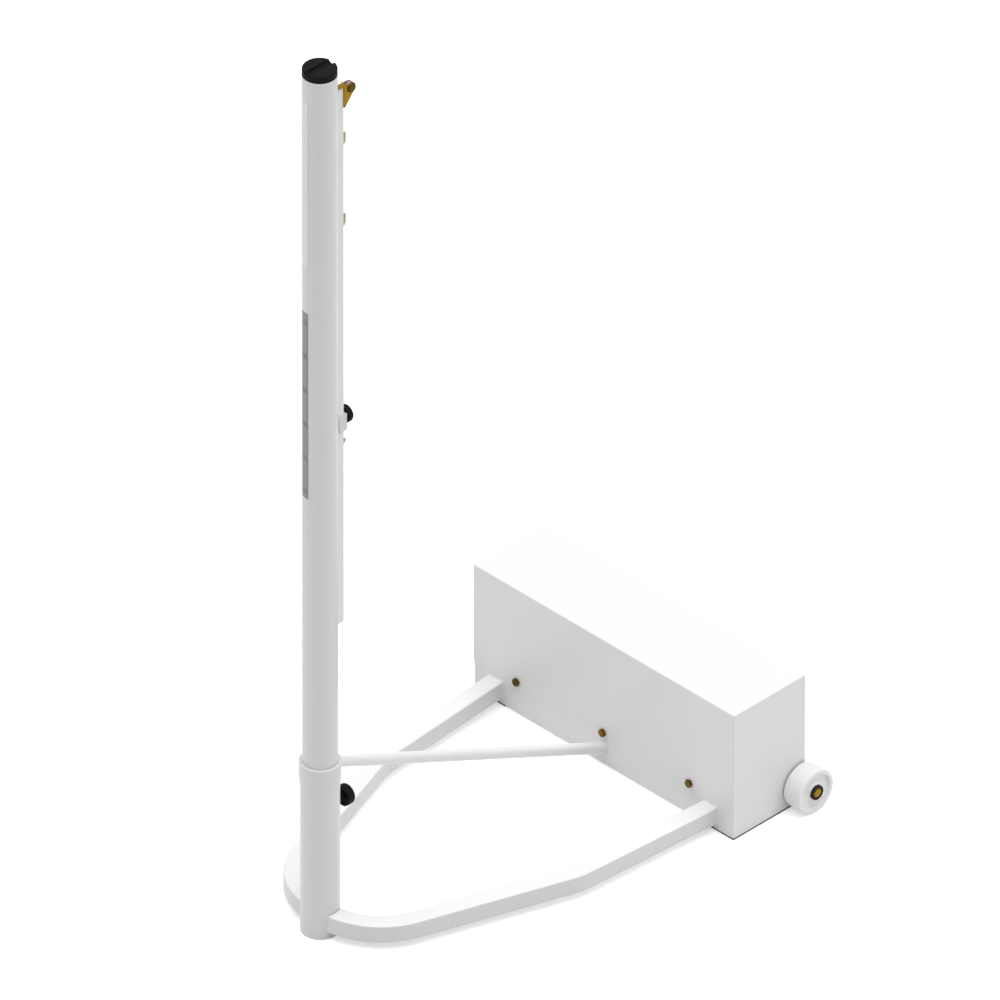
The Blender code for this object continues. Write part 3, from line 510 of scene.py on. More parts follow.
FINISHES = {
    # Painted light: the white paint is lighter on faces that look up (0.864) than on upright faces (0.825).
    "white_paint": powder_coat("powder_coat", (0.825, 0.825, 0.825), (0.864, 0.864, 0.864)),
    "yellow_zinc": zinc_plate(
        "yellow_zinc", gold=(0.28, 0.145, 0.0), green=(0.225, 0.152, 0.001),
        rose=(0.26, 0.105, 0.008), scratch=(0.14, 0.082, 0.003),
    ),
    "black_plastic": black_plastic("black_plastic", (0.005, 0.005, 0.0055), (0.009, 0.009, 0.0095)),
    "white_nylon": white_nylon(),
    "plain_steel": plain_steel(),
    "rubber": sheet_rubber(),
    "cast_iron": cast_iron(),
    "pulley_grey": grey_nylon(),
    "axle_bronze": dark_zinc(),
    "scale_film": scale_film(),
    "label_film": label_film(),
}
POST_PAINT = powder_coat("post_paint", (0.726, 0.729, 0.736))
# Painted shade and painted light: the legs' upright sides are a darker copy of the white paint (0.738), standing
# in for the shade near the floor, and their tops are painted lighter (0.866).
LEG_PAINT_SHADED_SIDES_LIT_TOPS = powder_coat("leg_paint", (0.738, 0.738, 0.738), (0.866, 0.866, 0.866))
BLOCK_PAINT = powder_coat("block_paint", (0.70, 0.70, 0.705))
DARK_ZINC = zinc_plate(
    "dark_yellow_zinc", gold=(0.17, 0.08, 0.002), green=(0.08, 0.068, 0.006),
    rose=(0.12, 0.04, 0.008), scratch=(0.04, 0.036, 0.012),
)
PALE_ZINC = zinc_plate(
    "pale_zinc", gold=(0.39, 0.37, 0.19), green=(0.34, 0.37, 0.22),
    rose=(0.37, 0.30, 0.16), scratch=(0.21, 0.20, 0.11),
)
WASHER_PLASTIC = black_plastic("washer_plastic", (0.026, 0.023, 0.020), (0.034, 0.030, 0.026))
INK = scale_ink()
BORDER = border_film()

NODE_SLOT = {part["node"]: part["material_slot"] for part in frame["record"]["subparts"]}
NODE_BODY = {node: body for body, nodes in frame["record"]["behaviour"]["bodies"].items() for node in nodes}


def finish_frame():
    """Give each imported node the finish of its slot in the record; the sliding block has a paint of its own."""
    for node, slot in NODE_SLOT.items():
        painted = frame["nodes"][node].data.materials
        painted.clear()
        painted.append(BLOCK_PAINT if node == "carriage_block" else FINISHES[slot])


def tidied(bm):
    """Merge touching points and turn every face outward."""
    bmesh.ops.remove_doubles(bm, verts=bm.verts[:], dist=TINY)
    bmesh.ops.recalc_face_normals(bm, faces=bm.faces[:])
    return bm


def outline(*corners):
    """One flat face from corners given as (place, rounding)."""
    bm = bmesh.new()
    points = [bm.verts.new(place) for place, _ in corners]
    bm.faces.new(points)
    for point, (_, rounding) in zip(points, corners):
        if rounding:
            bmesh.ops.bevel(bm, geom=[point], offset=rounding, offset_type="OFFSET", affect="VERTICES",
                            segments=ROUNDING, profile=0.5, material=-1)
    return bm


def turned(*corners, sides=MEDIUM):
    """Closed solid turned about +Z from corners given as (radius, height) or (radius, height, rounding)."""
    bm = outline(*(((corner[0], 0.0, corner[1]), sum(corner[2:])) for corner in corners))
    bmesh.ops.delete(bm, geom=bm.faces[:], context="FACES_ONLY")
    on_axis = [edge for edge in bm.edges if max(point.co.x for point in edge.verts) < TINY]
    bmesh.ops.delete(bm, geom=on_axis, context="EDGES")
    bmesh.ops.spin(bm, geom=bm.verts[:] + bm.edges[:], cent=(0, 0, 0), axis=Z_AXIS, angle=2 * math.pi,
                   steps=sides, use_merge=True)
    return tidied(bm)


def rings(radius, low, high):
    """Corners up a straight wall, a ring's step apart, so that no face is far longer than it is wide."""
    count = round((high - low) / RING_STEP)
    return [(radius, low + (high - low) * step / count) for step in range(1, count)]


def block(low, high, edge=0.0):
    """Box between two corners, with its edges rounded."""
    low, high = Vector(low), Vector(high)
    stretch = Matrix.Translation((low + high) / 2) @ Matrix.Diagonal((*(high - low), 1))
    bm = bmesh.new()
    bmesh.ops.create_cube(bm, size=1.0, matrix=stretch)
    if edge:
        bmesh.ops.bevel(bm, geom=bm.edges[:], offset=edge, offset_type="OFFSET", affect="EDGES",
                        segments=ROUNDING, profile=0.5, material=-1)
    return bm


def pull(bm, edges, way):
    """Draw the open end of a bar straight on; returns the new end's edges."""
    made = bmesh.ops.extrude_edge_only(bm, edges=edges)["geom"]
    bmesh.ops.translate(bm, verts=[item for item in made if isinstance(item, bmesh.types.BMVert)], vec=way)
    return [item for item in made if isinstance(item, bmesh.types.BMEdge)]


def bend(bm, edges, centre, axis, angle, steps):
    """Draw the open end of a bar round an arc; returns the new end's edges."""
    made = bmesh.ops.spin(bm, geom=edges, cent=centre, axis=axis, angle=angle, steps=steps)["geom_last"]
    return [item for item in made if isinstance(item, bmesh.types.BMEdge)]


def closed(bm):
    """Close the ends of a bar."""
    bmesh.ops.holes_fill(bm, edges=bm.edges[:], sides=0)
    return tidied(bm)


def cut_off(bm, place, way):
    """Cut a solid by a plane and drop what lies beyond it."""
    geom = bm.verts[:] + bm.edges[:] + bm.faces[:]
    bmesh.ops.bisect_plane(bm, geom=geom, plane_co=place, plane_no=way, clear_outer=True)
    return closed(bm)


def put(bm, *turns):
    """Move or turn a solid by matrices, the last one first."""
    for turn in reversed(turns):
        bm.transform(turn)
    return bm


def at(x, y, z):
    """Matrix that moves a solid from the origin to a place."""
    return Matrix.Translation((x, y, z))


def together(first, *others):
    """One mesh of several solids that stay apart."""
    for other in others:
        held = bpy.data.meshes.new("held")
        other.to_mesh(held)
        other.free()
        first.from_mesh(held)
        bpy.data.meshes.remove(held)
    return first


def worked(bm, operation, tool):
    """Cut a tool out of a solid, join it to the solid or keep what both share."""
    holders = []
    for solid in (bm, tool):
        mesh = bpy.data.meshes.new("solid")
        solid.to_mesh(mesh)
        solid.free()
        holders.append(bpy.data.objects.new("solid", mesh))
        bpy.context.scene.collection.objects.link(holders[-1])
    modifier = holders[0].modifiers.new("work", "BOOLEAN")
    modifier.operation = operation
    modifier.solver = "EXACT"
    modifier.object = holders[1]
    made = bmesh.new()
    made.from_object(holders[0], bpy.context.evaluated_depsgraph_get())
    for holder in holders:
        mesh = holder.data
        bpy.data.objects.remove(holder)
        bpy.data.meshes.remove(mesh)
    return tidied(made)


def add(name, bm, body, slot, finish=None, sharp=SHARP_ANGLE):
    """Make an object of a solid, shade it smooth between its sharp edges and let it ride on a body."""
    mesh = bpy.data.meshes.new(name)
    bm.to_mesh(mesh)
    bm.free()
    mesh.shade_smooth()
    mesh.set_sharp_from_angle(angle=math.radians(sharp))
    mesh.materials.append(finish or FINISHES[slot])
    piece = bpy.data.objects.new(name, mesh)
    bpy.context.scene.collection.objects.link(piece)
    even = piece.modifiers.new("even_shading", "WEIGHTED_NORMAL")
    even.keep_sharp = True
    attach(piece, body)
    return piece


def stand_in(node, bm, finish=None):
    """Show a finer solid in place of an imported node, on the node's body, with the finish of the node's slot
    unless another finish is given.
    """
    piece = add(node + "_fine", bm, NODE_BODY[node], NODE_SLOT[node], finish)
    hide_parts(node)


def soften(node, width):
    """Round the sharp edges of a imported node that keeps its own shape."""
    piece = frame["nodes"][node]
    weld = piece.modifiers.new("weld", "WELD")
    weld.merge_threshold = TINY
    edge = piece.modifiers.new("edge", "BEVEL")
    edge.width = width
    edge.segments = SOFT_STEPS
    edge.limit_method = "ANGLE"
    edge.angle_limit = SOFT_ANGLE
    even = piece.modifiers.new("even_shading", "WEIGHTED_NORMAL")
    even.keep_sharp = True


def span(node):
    """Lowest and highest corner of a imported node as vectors."""
    low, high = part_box(node)
    return Vector(low), Vector(high)


def make_post():
    """Tube and its cap, with the groove that leads a rope over it."""
    low, high = span("post_tube")
    outer = high.x
    inner = outer - TUBE_WALL
    tube = turned((inner, low.z), (outer, low.z), *rings(outer, low.z, high.z), (outer, high.z, TUBE_LIP),
                  (inner, high.z), *reversed(rings(inner, low.z, high.z)), sides=ROUND)
    stand_in("post_tube", tube, POST_PAINT)
    low, high = span("post_cap")
    seat = high.z - CAP_THICKNESS
    rim = high.x
    spigot = inner - FIT
    cap = turned((0, low.z), (spigot - TUBE_WALL, low.z), (spigot, low.z + 2 * TUBE_WALL), (spigot, seat),
                 (rim, seat, TUBE_LIP), (rim, high.z, CAP_EDGE), (0, high.z), sides=ROUND)
    groove = turned((0, -2 * rim), (GROOVE_WIDTH / 2, -2 * rim), (GROOVE_WIDTH / 2, 2 * rim), (0, 2 * rim))
    cap = worked(cap, "DIFFERENCE", put(groove, at(0, 0, high.z), ALONG_Y))
    stand_in("post_cap", cap)


def make_sleeve():
    """Sleeve with its swollen collar and its liner, and the clamp's boss; returns the sleeve's radius."""
    low, high = span("base_sleeve")
    outer = high.x - COLLAR_SWELL
    bore = outer - SLEEVE_WALL
    foot = COLLAR_LOW - COLLAR_TAPER
    sleeve = turned((bore, low.z), (outer, low.z), *rings(outer, low.z, foot), (outer, foot, COLLAR_BLEND),
                    (high.x, COLLAR_LOW, COLLAR_BLEND), (high.x, high.z, COLLAR_EDGE),
                    (bore, high.z, COLLAR_EDGE / 2), sides=ROUND)
    stand_in("base_sleeve", sleeve, POST_PAINT)
    inner, rim = span("post_tube")[1].x + LINER_FIT, bore - LINER_FIT
    lower, upper = high.z - LINER_HEIGHT, high.z - LINER_FIT
    liner = turned((inner, lower), (rim, lower), (rim, upper), (inner, upper), sides=ROUND)
    add("sleeve_liner", liner, "base", "white_nylon")
    low, high = span("clamp_boss")
    start = outer - SLEEVE_WALL / 2
    boss = turned((BOSS_BORE, start), (BOSS_RADIUS, start), (BOSS_RADIUS, high.y, COLLAR_EDGE),
                  (BOSS_BORE, high.y), sides=SMALL)
    stand_in("clamp_boss", put(boss, at(0, 0, (low.z + high.z) / 2), ALONG_Y))
    return outer


def square(size):
    """Corners of a square round the origin, in order."""
    half = size / 2
    return (-half, -half), (half, -half), (half, half), (-half, half)


def make_leg(name, side, sleeve_radius):
    """Square tube that leaves the sleeve sideways, bends back and ends square on the box."""
    end = span(name)[1].y
    knee = Vector((LEG_END_SPREAD - LEG_KNEE_REACH * math.tan(LEG_TOE), end + FIT - LEG_KNEE_REACH, 0))
    along = Vector((math.sin(LEG_SPLAY), math.cos(LEG_SPLAY), 0))
    first_turn = math.pi / 2 - LEG_SPLAY
    second_turn = LEG_SPLAY - LEG_TOE
    corner = knee - along * (knee.y - LEG_SET_BACK) / along.y
    start = corner - X_AXIS * LEG_BEND * math.tan(first_turn / 2)
    knee_room = LEG_BEND * math.tan(second_turn / 2)
    straight = (knee - corner).length - LEG_BEND * math.tan(first_turn / 2) - knee_room
    bm = outline(*(((0, LEG_SET_BACK + y, LEG_MIDDLE + z), LEG_EDGE) for y, z in square(LEG_SIZE)))
    bmesh.ops.delete(bm, geom=bm.faces[:], context="FACES_ONLY")
    last = pull(bm, bm.edges[:], X_AXIS * start.x)
    last = bend(bm, last, start + Y_AXIS * LEG_BEND, Z_AXIS, first_turn, SMALL)
    last = pull(bm, last, along * straight)
    left = Vector((-along.y, along.x, 0))
    last = bend(bm, last, knee - along * knee_room + left * LEG_BEND, Z_AXIS, second_turn, SMALL // 4)
    pull(bm, last, Vector((math.sin(LEG_TOE), math.cos(LEG_TOE), 0)) * LEG_KNEE_REACH)
    bm = cut_off(closed(bm), (0, end, 0), Y_AXIS)
    ledge = LEG_MIDDLE + LEG_SIZE / 2 - JOINT_DEPTH
    seat, lip = sleeve_radius - FIT, sleeve_radius + JOINT_GROOVE
    below, above = -LEG_SIZE, 4 * LEG_SIZE
    saddle = turned((0, below), (seat, below), (seat, ledge), (lip, ledge), (lip, above), (0, above),
                    sides=ROUND)
    bm = worked(bm, "DIFFERENCE", saddle)
    # The legs take the paint with shade painted on their sides and light painted on their tops.
    stand_in(name, tidied(put(bm, Matrix.Diagonal((side, 1, 1, 1)))), LEG_PAINT_SHADED_SIDES_LIT_TOPS)


def brace_slope():
    """Direction of the brace, from the collar down to the box."""
    return Vector((0, span("box_cover")[0].y - span("base_sleeve")[1].y, BRACE_FOOT - BRACE_HEAD))


def make_brace():
    """Round tube from the collar's wall to the box."""
    way = brace_slope()
    head = Vector((0, span("base_sleeve")[1].y, BRACE_HEAD))
    spare = 4 * BRACE_RADIUS
    start, length = -spare, way.length + spare
    bm = turned((0, start), (BRACE_RADIUS, start), *rings(BRACE_RADIUS, start, length),
                (BRACE_RADIUS, length), (0, length))
    put(bm, Matrix.Translation(head), way.to_track_quat("Z", "X").to_matrix().to_4x4())
    cut_off(bm, head - Y_AXIS * SLEEVE_WALL, -Y_AXIS)
    stand_in("base_brace", cut_off(bm, (0, span("base_brace")[1].y, 0), Y_AXIS))


def make_box():
    """Folded cover: rounded edges, open below, with a notch in its left front corner."""
    low, high = span("box_cover")
    bm = block(low, high)
    upper = [edge for edge in bm.edges if max(point.co.z for point in edge.verts) > low.z + TINY]
    bmesh.ops.bevel(bm, geom=upper, offset=BOX_EDGE, offset_type="OFFSET", affect="EDGES",
                    segments=ROUNDING, profile=0.5, material=-1)
    bottom = [face for face in bm.faces if face.calc_center_median().z < low.z + TINY]
    bmesh.ops.delete(bm, geom=bottom, context="FACES_ONLY")
    bmesh.ops.solidify(bm, geom=bm.faces[:], thickness=BOX_SHEET)
    notch = block((low.x - NOTCH_WIDTH, low.y - NOTCH_WIDTH, 0),
                  (low.x + NOTCH_WIDTH, low.y + NOTCH_LENGTH, NOTCH_TOP))
    stand_in("box_cover", worked(tidied(bm), "DIFFERENCE", notch))


def bolt(flats, head, shank_radius, shank):
    """Hexagon bolt: its shank runs down from height 0 and its head stands up, with turned-off corners."""
    corner = flats / math.sqrt(3)
    face = BOLT_FACE * flats
    wide = BOLT_CONE * corner
    blank = turned((0, 0), (corner, 0), (corner, head), (0, head), sides=6)
    cone = turned((0, -head), (wide, -head), (wide, head - (wide - face) * BOLT_SLOPE), (face, head), (0, head))
    shaft = turned((0, -shank), (shank_radius, -shank, shank_radius / 4), (shank_radius, head / 2),
                   (0, head / 2), sides=SMALL)
    return worked(worked(blank, "INTERSECT", cone), "UNION", shaft)


def make_box_bolts():
    """Three bolts in the face of the box, each turned as its tightening left it."""
    for number, turn in enumerate(BOX_BOLT_TURNS, 1):
        name = f"box_bolt_{number}"
        low, high = span(name)
        flats = min(high.x - low.x, high.z - low.z)
        middle = (low + high) / 2
        seat = low.y + BOX_BOLT_HEAD
        bm = bolt(flats, BOX_BOLT_HEAD, BOX_BOLT_RADIUS, high.y - seat)
        placed = put(bm, at(middle.x, seat, middle.z), ALONG_MINUS_Y, Matrix.Rotation(turn, 4, "Z"))
        stand_in(name, placed, DARK_ZINC)


def make_wheel_bolt(name, side, way):
    """Bolt through a wheel, its head outward."""
    low, high = span(name)
    middle = (low + high) / 2
    end = high.x if side > 0 else -low.x
    start = low.x if side > 0 else -high.x
    seat = end - WHEEL_BOLT_HEAD
    bm = bolt(WHEEL_BOLT_FLATS, WHEEL_BOLT_HEAD, WHEEL_BOLT_RADIUS, seat - start)
    turn = Matrix.Rotation(WHEEL_BOLT_TURN, 4, "Z")
    stand_in(name, put(bm, at(side * seat, middle.y, middle.z), way, turn))


def make_wheel_washer(name, side, way):
    """Dark cup washer in which a wheel bolt's head sits."""
    low, high = span(name)
    middle = (low + high) / 2
    radius = (high.z - low.z) / 2
    height = high.x - low.x
    bore = WHEEL_BOLT_RADIUS + FIT
    bm = turned((bore, 0), (radius, 0, TUBE_LIP), (radius, height, 3 * TUBE_LIP),
                (CUP_RADIUS, height, TUBE_LIP), (CUP_RADIUS, CUP_FLOOR, TUBE_LIP), (bore, CUP_FLOOR))
    near = low.x if side > 0 else high.x
    stand_in(name, put(bm, at(near, middle.y, middle.z), way), WASHER_PLASTIC)


def make_wheel(name, side, way):
    """Moulded wheel: a broad tread, a rim, a recess on both faces and a hub."""
    low, high = span(name)
    middle = (low + high) / 2
    width = high.x - low.x
    radius = (high.z - low.z) / 2
    rim = radius - WHEEL_RIM
    inner = (
        (WHEEL_BORE, WHEEL_HUB_SET_IN),
        (WHEEL_HUB, WHEEL_HUB_SET_IN, WHEEL_SOFT),
        (WHEEL_HUB + WHEEL_EDGE / 2, WHEEL_RECESS, WHEEL_FILLET),
        (rim - WHEEL_EDGE / 2, WHEEL_RECESS, WHEEL_FILLET),
        (rim, 0, WHEEL_SOFT),
        (radius, 0, WHEEL_EDGE),
    )
    outer = [(corner[0], width - corner[1], *corner[2:]) for corner in reversed(inner)]
    near = low.x if side > 0 else high.x
    stand_in(name, put(turned(*inner, *outer, sides=ROUND), at(near, middle.y, middle.z), way))


def make_hook(name, tip_length):
    """Rope hook: a bent rod with a rounded tip, on a block that slides in the rail."""
    low, high = span(name)
    tip_y = high.y - HOOK_RADIUS
    bend_y = tip_y - HOOK_BEND
    root_y = low.y + 2 * HOOK_RADIUS
    run_z = high.z - max(tip_length + HOOK_BEND, BLOCK_LENGTH / 2)
    rod = bmesh.new()
    bmesh.ops.create_circle(rod, segments=SMALL, radius=HOOK_RADIUS, matrix=at(0, root_y, run_z) @ ALONG_Y)
    last = pull(rod, rod.edges[:], Y_AXIS * (bend_y - root_y))
    last = bend(rod, last, (0, bend_y, run_z + HOOK_BEND), X_AXIS, math.pi / 2, SMALL // 4)
    last = pull(rod, last, Z_AXIS * (tip_length - HOOK_RADIUS))
    for step in range(ROUNDING):
        before, after = (math.pi / 2 * (step + extra) / (ROUNDING + 1) for extra in (0, 1))
        last = pull(rod, last, Z_AXIS * HOOK_RADIUS * (math.sin(after) - math.sin(before)))
        ring = list({point for edge in last for point in edge.verts})
        share = math.cos(after) / math.cos(before)
        bmesh.ops.scale(rod, verts=ring, vec=(share, share, 1), space=at(0, -tip_y, 0))
    slide = block((low.x, low.y, run_z - BLOCK_LENGTH / 2),
                  (high.x, low.y + SLIDE_DEPTH, run_z + BLOCK_LENGTH / 2), TUBE_LIP)
    stand_in(name, worked(slide, "UNION", closed(rod)), PALE_ZINC)


def make_knob(name, axis_z, stud, neck=0.0):
    """Fluted knob, hollow round its hub, which reaches a neck's length towards the post."""
    low, high = span(name)
    radius = (high.x - low.x) / 2
    near = low.y + neck
    depth = high.y - near
    bore = stud + FIT
    hub = bore + KNOB_WALL
    grip = STUD_GRIP * depth + FIT
    dish = depth - KNOB_DISH
    soft = DISH_ROUND * radius
    bm = turned((0, grip), (bore, grip), (bore, -neck), (hub, -neck, SOFT_EDGE), (hub, KNOB_HOLLOW, SOFT_EDGE),
                (HOLLOW_SHARE * radius, KNOB_HOLLOW, 2 * SOFT_EDGE), (RIM_SHARE * radius, 0, SOFT_EDGE),
                (radius, 0, RIM_ROUND * radius), (radius, depth, SHOULDER_ROUND * radius),
                (CROWN_SHARE * radius, depth, soft), (DISH_SHARE * radius, dish, soft), (0, dish),
                sides=LOBE_SIDES * KNOB_LOBES)
    for point in bm.verts:
        reach = math.hypot(point.co.x, point.co.y)
        if reach > FLUTE_SHARE * radius:
            turn = KNOB_LOBES * math.atan2(point.co.y, point.co.x)
            outward = (reach / radius - FLUTE_SHARE) / (1 - FLUTE_SHARE)
            share = 1 - KNOB_FLUTE * outward * (1 - math.cos(turn)) / 2 / reach
            point.co.x *= share
            point.co.y *= share
    stand_in(name, put(bm, at(0, near, axis_z), ALONG_Y))


def make_pulley():
    """Grooved pulley and the headed pin that it turns on."""
    low, high = span("pulley")
    middle = (low + high) / 2
    radius = (high.z - low.z) / 2
    hub = (high.x - low.x) / 2
    half = hub - PULLEY_RIM
    mouth = half - 2 * FIT
    floor = radius - PULLEY_GROOVE
    bed, fillet = PULLEY_FLOOR * mouth, PULLEY_FILLET * mouth
    bm = turned((PULLEY_BORE, -hub), (PULLEY_HUB, -hub, FIT), (PULLEY_HUB, -half), (radius, -half, FIT),
                (radius, -mouth), (floor, -bed, fillet), (floor, bed, fillet), (radius, mouth),
                (radius, half, FIT), (PULLEY_HUB, half), (PULLEY_HUB, hub, FIT), (PULLEY_BORE, hub))
    stand_in("pulley", put(bm, Matrix.Translation(middle), ALONG_X))
    low, high = span("pulley_axle")
    seat = span("pulley_cheek_right")[1].x + FIT
    head = (high.z - low.z) / 2
    dome = PIN_DOME * (high.x - seat)
    pin = turned((0, low.x), (PIN_RADIUS, low.x, 2 * FIT), (PIN_RADIUS, seat), (head, seat, FIT),
                 (head, high.x, dome), (0, high.x))
    stand_in("pulley_axle", put(pin, Matrix.Translation((0, middle.y, middle.z)), ALONG_X))


def wall_patch(inner, outer, low, high, start, end, steps=FILM_STEPS):
    """Thin closed patch of a tube's wall between two heights and two angles."""
    bm = outline(((inner, 0, low), 0), ((outer, 0, low), 0), ((outer, 0, high), 0), ((inner, 0, high), 0))
    put(bm, Matrix.Rotation(start, 4, "Z"))
    bmesh.ops.spin(bm, geom=bm.verts[:] + bm.edges[:] + bm.faces[:], cent=(0, 0, 0), axis=Z_AXIS,
                   angle=end - start, steps=steps)
    return closed(bm)


def digits(text, radius, angle, height):
    """Upright figures printed round the tube: cut into narrow slices, then wrapped."""
    curve = bpy.data.curves.new("figures", "FONT")
    curve.body = text
    curve.size = NUMBER_SIZE
    curve.align_y = "CENTER"
    curve.extrude = INK_HEIGHT
    holder = bpy.data.objects.new("figures", curve)
    bm = bmesh.new()
    bm.from_mesh(holder.to_mesh())
    bpy.data.objects.remove(holder)
    bpy.data.curves.remove(curve)
    width = max(point.co.x for point in bm.verts)
    for cut in range(1, NUMBER_CUTS):
        geom = bm.verts[:] + bm.edges[:] + bm.faces[:]
        bmesh.ops.bisect_plane(bm, geom=geom, plane_co=(width * cut / NUMBER_CUTS, 0, 0), plane_no=X_AXIS)
    for point in bm.verts:
        turn = angle + point.co.x / radius
        reach = radius + point.co.z
        point.co = (reach * math.cos(turn), reach * math.sin(turn), height + point.co.y)
    return tidied(bm)


def tick_size(tick):
    """Reach and thickness of a tick: the longest has a number, the next stands half-way between two."""
    if tick % TICKS_PER_NUMBER == 0:
        return TICK_SIZES[0]
    if tick % (TICKS_PER_NUMBER // 2) == 0:
        return TICK_SIZES[1]
    return TICK_SIZES[2]


def make_strips():
    """Height scale and label: thin films on the tube, the scale with its ticks and figures."""
    tube = span("post_tube")[1].x
    face = tube + FILM
    print_face = face + INK_HEIGHT
    for node in ("scale_strip", "blank_label"):
        low, high = span(node)
        stand_in(node, wall_patch(tube - FILM, face, low.z, high.z, STRIP_FROM, STRIP_TO))
    low, high = span("scale_strip")
    prints = []
    for tick in range(-1, TICKS):
        height = FIRST_MARK + tick * TICK_STEP
        if not low.z + FILM_MARGIN < height < high.z - FILM_MARGIN:
            continue
        reach, thickness = tick_size(tick)
        start, end = STRIP_FROM + EDGE_ANGLE, STRIP_FROM + (STRIP_TO - STRIP_FROM) * reach
        below, above = height - thickness / 2, height + thickness / 2
        prints.append(wall_patch(tube, print_face, below, above, start, end, FILM_STEPS // 2))
        if tick % TICKS_PER_NUMBER == 0:
            figures = str(FIRST_NUMBER + tick)
            prints.append(digits(figures, face, STRIP_FROM + 2 * EDGE_ANGLE, height + NUMBER_RISE))
    add("scale_print", together(*prints), "post", "scale_film", INK)
    low, high = span("blank_label")
    edge = wall_patch(tube, print_face, low.z, high.z, STRIP_TO - BORDER_ANGLE, STRIP_TO, FILM_STEPS // 6)
    add("label_border", edge, "post", "label_film", BORDER)


def bead(path):
    """Weld bead round a closed path, with the slight ripple that welding leaves."""
    curve = bpy.data.curves.new("bead", "CURVE")
    curve.dimensions = "3D"
    curve.bevel_depth = BEAD
    curve.bevel_resolution = BEAD_SIDES
    line = curve.splines.new("POLY")
    line.use_cyclic_u = True
    line.points.add(len(path) - 1)
    for number, (point, place) in enumerate(zip(line.points, path)):
        point.co = (*place, 1)
        point.radius = 1.0 + BEAD_SWELL * (number % 2)
    holder = bpy.data.objects.new("bead", curve)
    bm = bmesh.new()
    bm.from_mesh(holder.to_mesh())
    bpy.data.objects.remove(holder)
    bpy.data.curves.remove(curve)
    return tidied(bm)


def between(first, last):
    """Points from one place to the next, a ripple apart, without the last."""
    count = round((last - first).length / BEAD_RIPPLE)
    return [first.lerp(last, step / count) for step in range(count)]


def make_welds():
    """Small painted weld beads where the legs meet the box and where the brace meets both."""
    wall = span("box_cover")[0].y
    corners = [Vector((LEG_END_SPREAD + x, wall, LEG_MIDDLE + z)) for x, z in square(LEG_SIZE)]
    ends = [point for first, last in zip(corners, [*corners[1:], corners[0]]) for point in between(first, last)]
    beads = [bead([(side * point.x, point.y, point.z) for point in ends]) for side in (1, -1)]
    way = brace_slope().normalized()
    collar = span("base_sleeve")[1].x
    foot, head = [], []
    for step in range(MEDIUM // 2):
        turn = 4 * math.pi * step / MEDIUM
        x = BRACE_RADIUS * math.cos(turn)
        rise = BRACE_RADIUS * math.sin(turn) / way.y
        foot.append((x, wall, BRACE_FOOT + rise))
        near = math.sqrt(collar ** 2 - x ** 2)
        head.append((x, near, BRACE_HEAD + (near - collar) * way.z / way.y + rise))
    beads += [bead(foot), bead(head)]
    add("weld_beads", together(*beads), "base", "white_paint", sharp=BEAD_SHARP)


def make_pieces():
    """Every finer piece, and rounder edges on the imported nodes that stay."""
    make_post()
    sleeve_radius = make_sleeve()
    make_leg("base_leg_right", 1, sleeve_radius)
    make_leg("base_leg_left", -1, sleeve_radius)
    make_brace()
    make_welds()
    make_box()
    make_box_bolts()
    for name, side, way in WHEEL_SIDES:
        make_wheel_bolt("wheel_bolt_" + name, side, way)
        make_wheel_washer("wheel_washer_" + name, side, way)
    for name, side, way in WHEEL_SIDES:
        make_wheel("wheel_" + name, side, way)
    for name, tip_length in HOOK_TIPS.items():
        make_hook(name, tip_length)
    make_knob("carriage_knob", CARRIAGE_Z, CARRIAGE_STUD)
    make_knob("clamp_knob", CLAMP_Z, CLAMP_STUD, CLAMP_NECK)
    make_pulley()
    make_strips()
    for node in ("post_rail", "carriage_block", "pulley_cheek_right", "pulley_cheek_left", "pulley_nut"):
        soften(node, SOFT_EDGE)


def direction(azimuth, elevation):
    """Unit vector towards a place round the object: azimuth 0 is the court's side and 90 degrees is +X."""
    level = math.cos(elevation)
    return Vector((math.sin(azimuth) * level, -math.cos(azimuth) * level, math.sin(elevation)))


def set_camera():
    """Long lens from the front right, high up, aimed as the photograph is."""
    back = direction(AZIMUTH, ELEVATION)
    right = Vector((math.cos(AZIMUTH), math.sin(AZIMUTH), 0))
    up = back.cross(right)
    rolled = Matrix.Rotation(ROLL, 3, back)
    right, up = rolled @ right, rolled @ up
    camera = bpy.data.objects.new("camera", bpy.data.cameras.new("camera"))
    bpy.context.scene.collection.objects.link(camera)
    camera.data.sensor_width = SENSOR
    camera.data.lens = SENSOR / 2 / math.tan(HALF_ANGLE)
    camera.data.clip_start = 1.0
    camera.data.clip_end = 2 * DISTANCE
    camera.matrix_world = Matrix((right, up, back)).transposed().to_4x4()
    camera.location = right * AIM_RIGHT + up * AIM_UP + back * DISTANCE
    bpy.context.scene.camera = camera


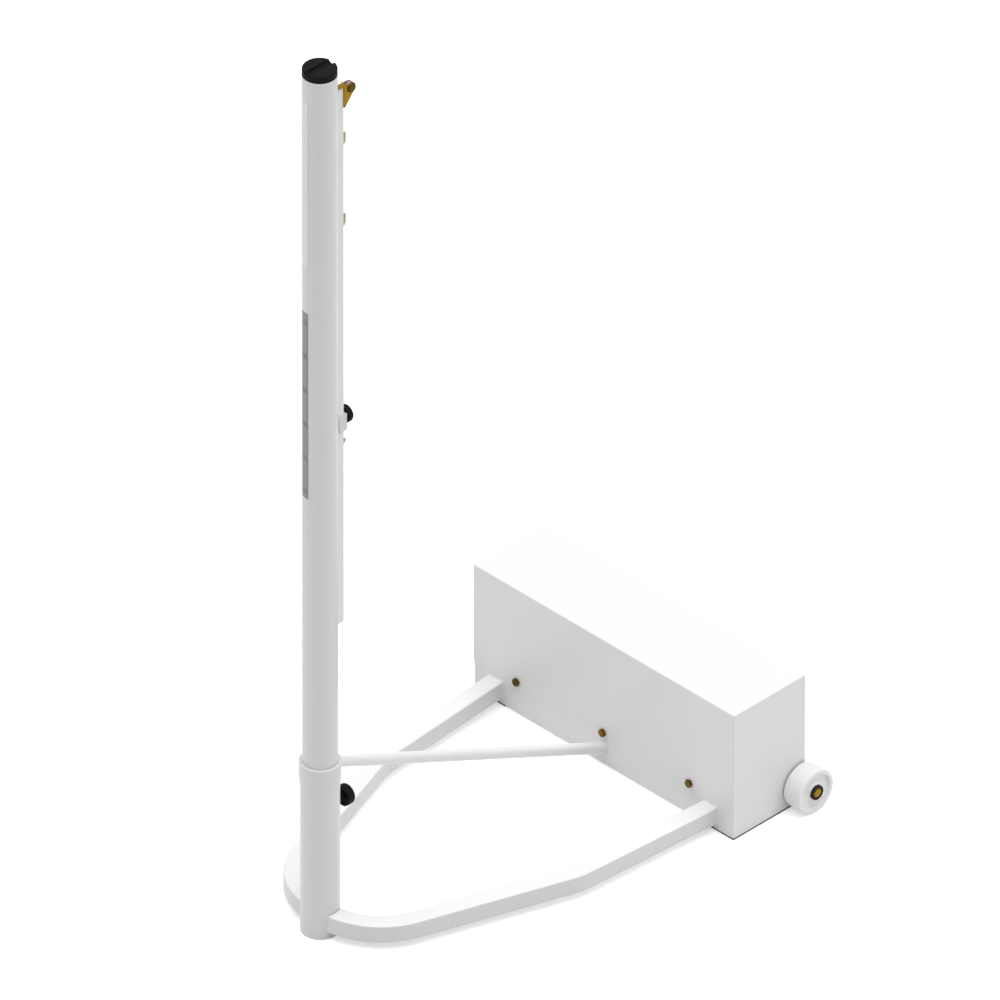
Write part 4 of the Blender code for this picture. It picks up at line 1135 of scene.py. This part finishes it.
def seen_white(tree):
    """1 for what the camera sees, also in a mirror or through glass, and 0 for what lights the object."""
    camera, mirror, glass = (tree.node("ShaderNodeLightPath", out=f"Is {ray} Ray")
                             for ray in ("Camera", "Glossy", "Transmission"))
    return camera.maths("MAXIMUM", mirror).maths("MAXIMUM", glass)


def set_stage():
    """Pale floor that shows white but keeps the shadow, and a white world."""
    bm = bmesh.new()
    bmesh.ops.create_circle(bm, cap_ends=True, segments=ROUND, radius=FLOOR_RADIUS)
    mesh = bpy.data.meshes.new("floor")
    bm.to_mesh(mesh)
    bm.free()
    floor = bpy.data.objects.new("floor", mesh)
    bpy.context.scene.collection.objects.link(floor)
    finish = Finish("floor_paint", Specular_IOR_Level=0.1, Emission_Strength=1.0)
    tone = finish.noise(0.8, 2.0, 0.5)
    mesh.materials.append(finish.set(
        Base_Color=finish.mix(tone, (0.80, 0.80, 0.80), (0.82, 0.82, 0.82)),
        Roughness=0.85 + 0.05 * tone,
        Emission_Color=finish.mix(seen_white(finish), (0.0, 0.0, 0.0), (FLOOR_LIFT, FLOOR_LIFT, FLOOR_LIFT)),
    ))

    world = bpy.data.worlds.new("studio")
    bpy.context.scene.world = world
    world.use_nodes = True
    sky = Tree(world.node_tree)
    background = world.node_tree.nodes["Background"]
    sky.feed(background.inputs["Strength"], WORLD_LEVEL + (BACKGROUND - WORLD_LEVEL) * seen_white(sky))
    background.inputs["Color"].default_value = (1.0, 1.0, 1.0, 1.0)


def set_lights():
    """A broad light overhead and two softer ones from the sides."""
    for name, azimuth, elevation, level, spread in LAMPS:
        lamp = bpy.data.lights.new(name, "SUN")
        lamp.energy = level * math.pi
        lamp.angle = math.radians(spread)
        holder = bpy.data.objects.new(name, lamp)
        bpy.context.scene.collection.objects.link(holder)
        towards = direction(math.radians(azimuth), math.radians(elevation))
        holder.rotation_euler = towards.to_track_quat("Z", "Y").to_euler()


bpy.context.scene.view_settings.view_transform = "Standard"
set_camera()
set_stage()
set_lights()
finish_frame()
make_pieces()
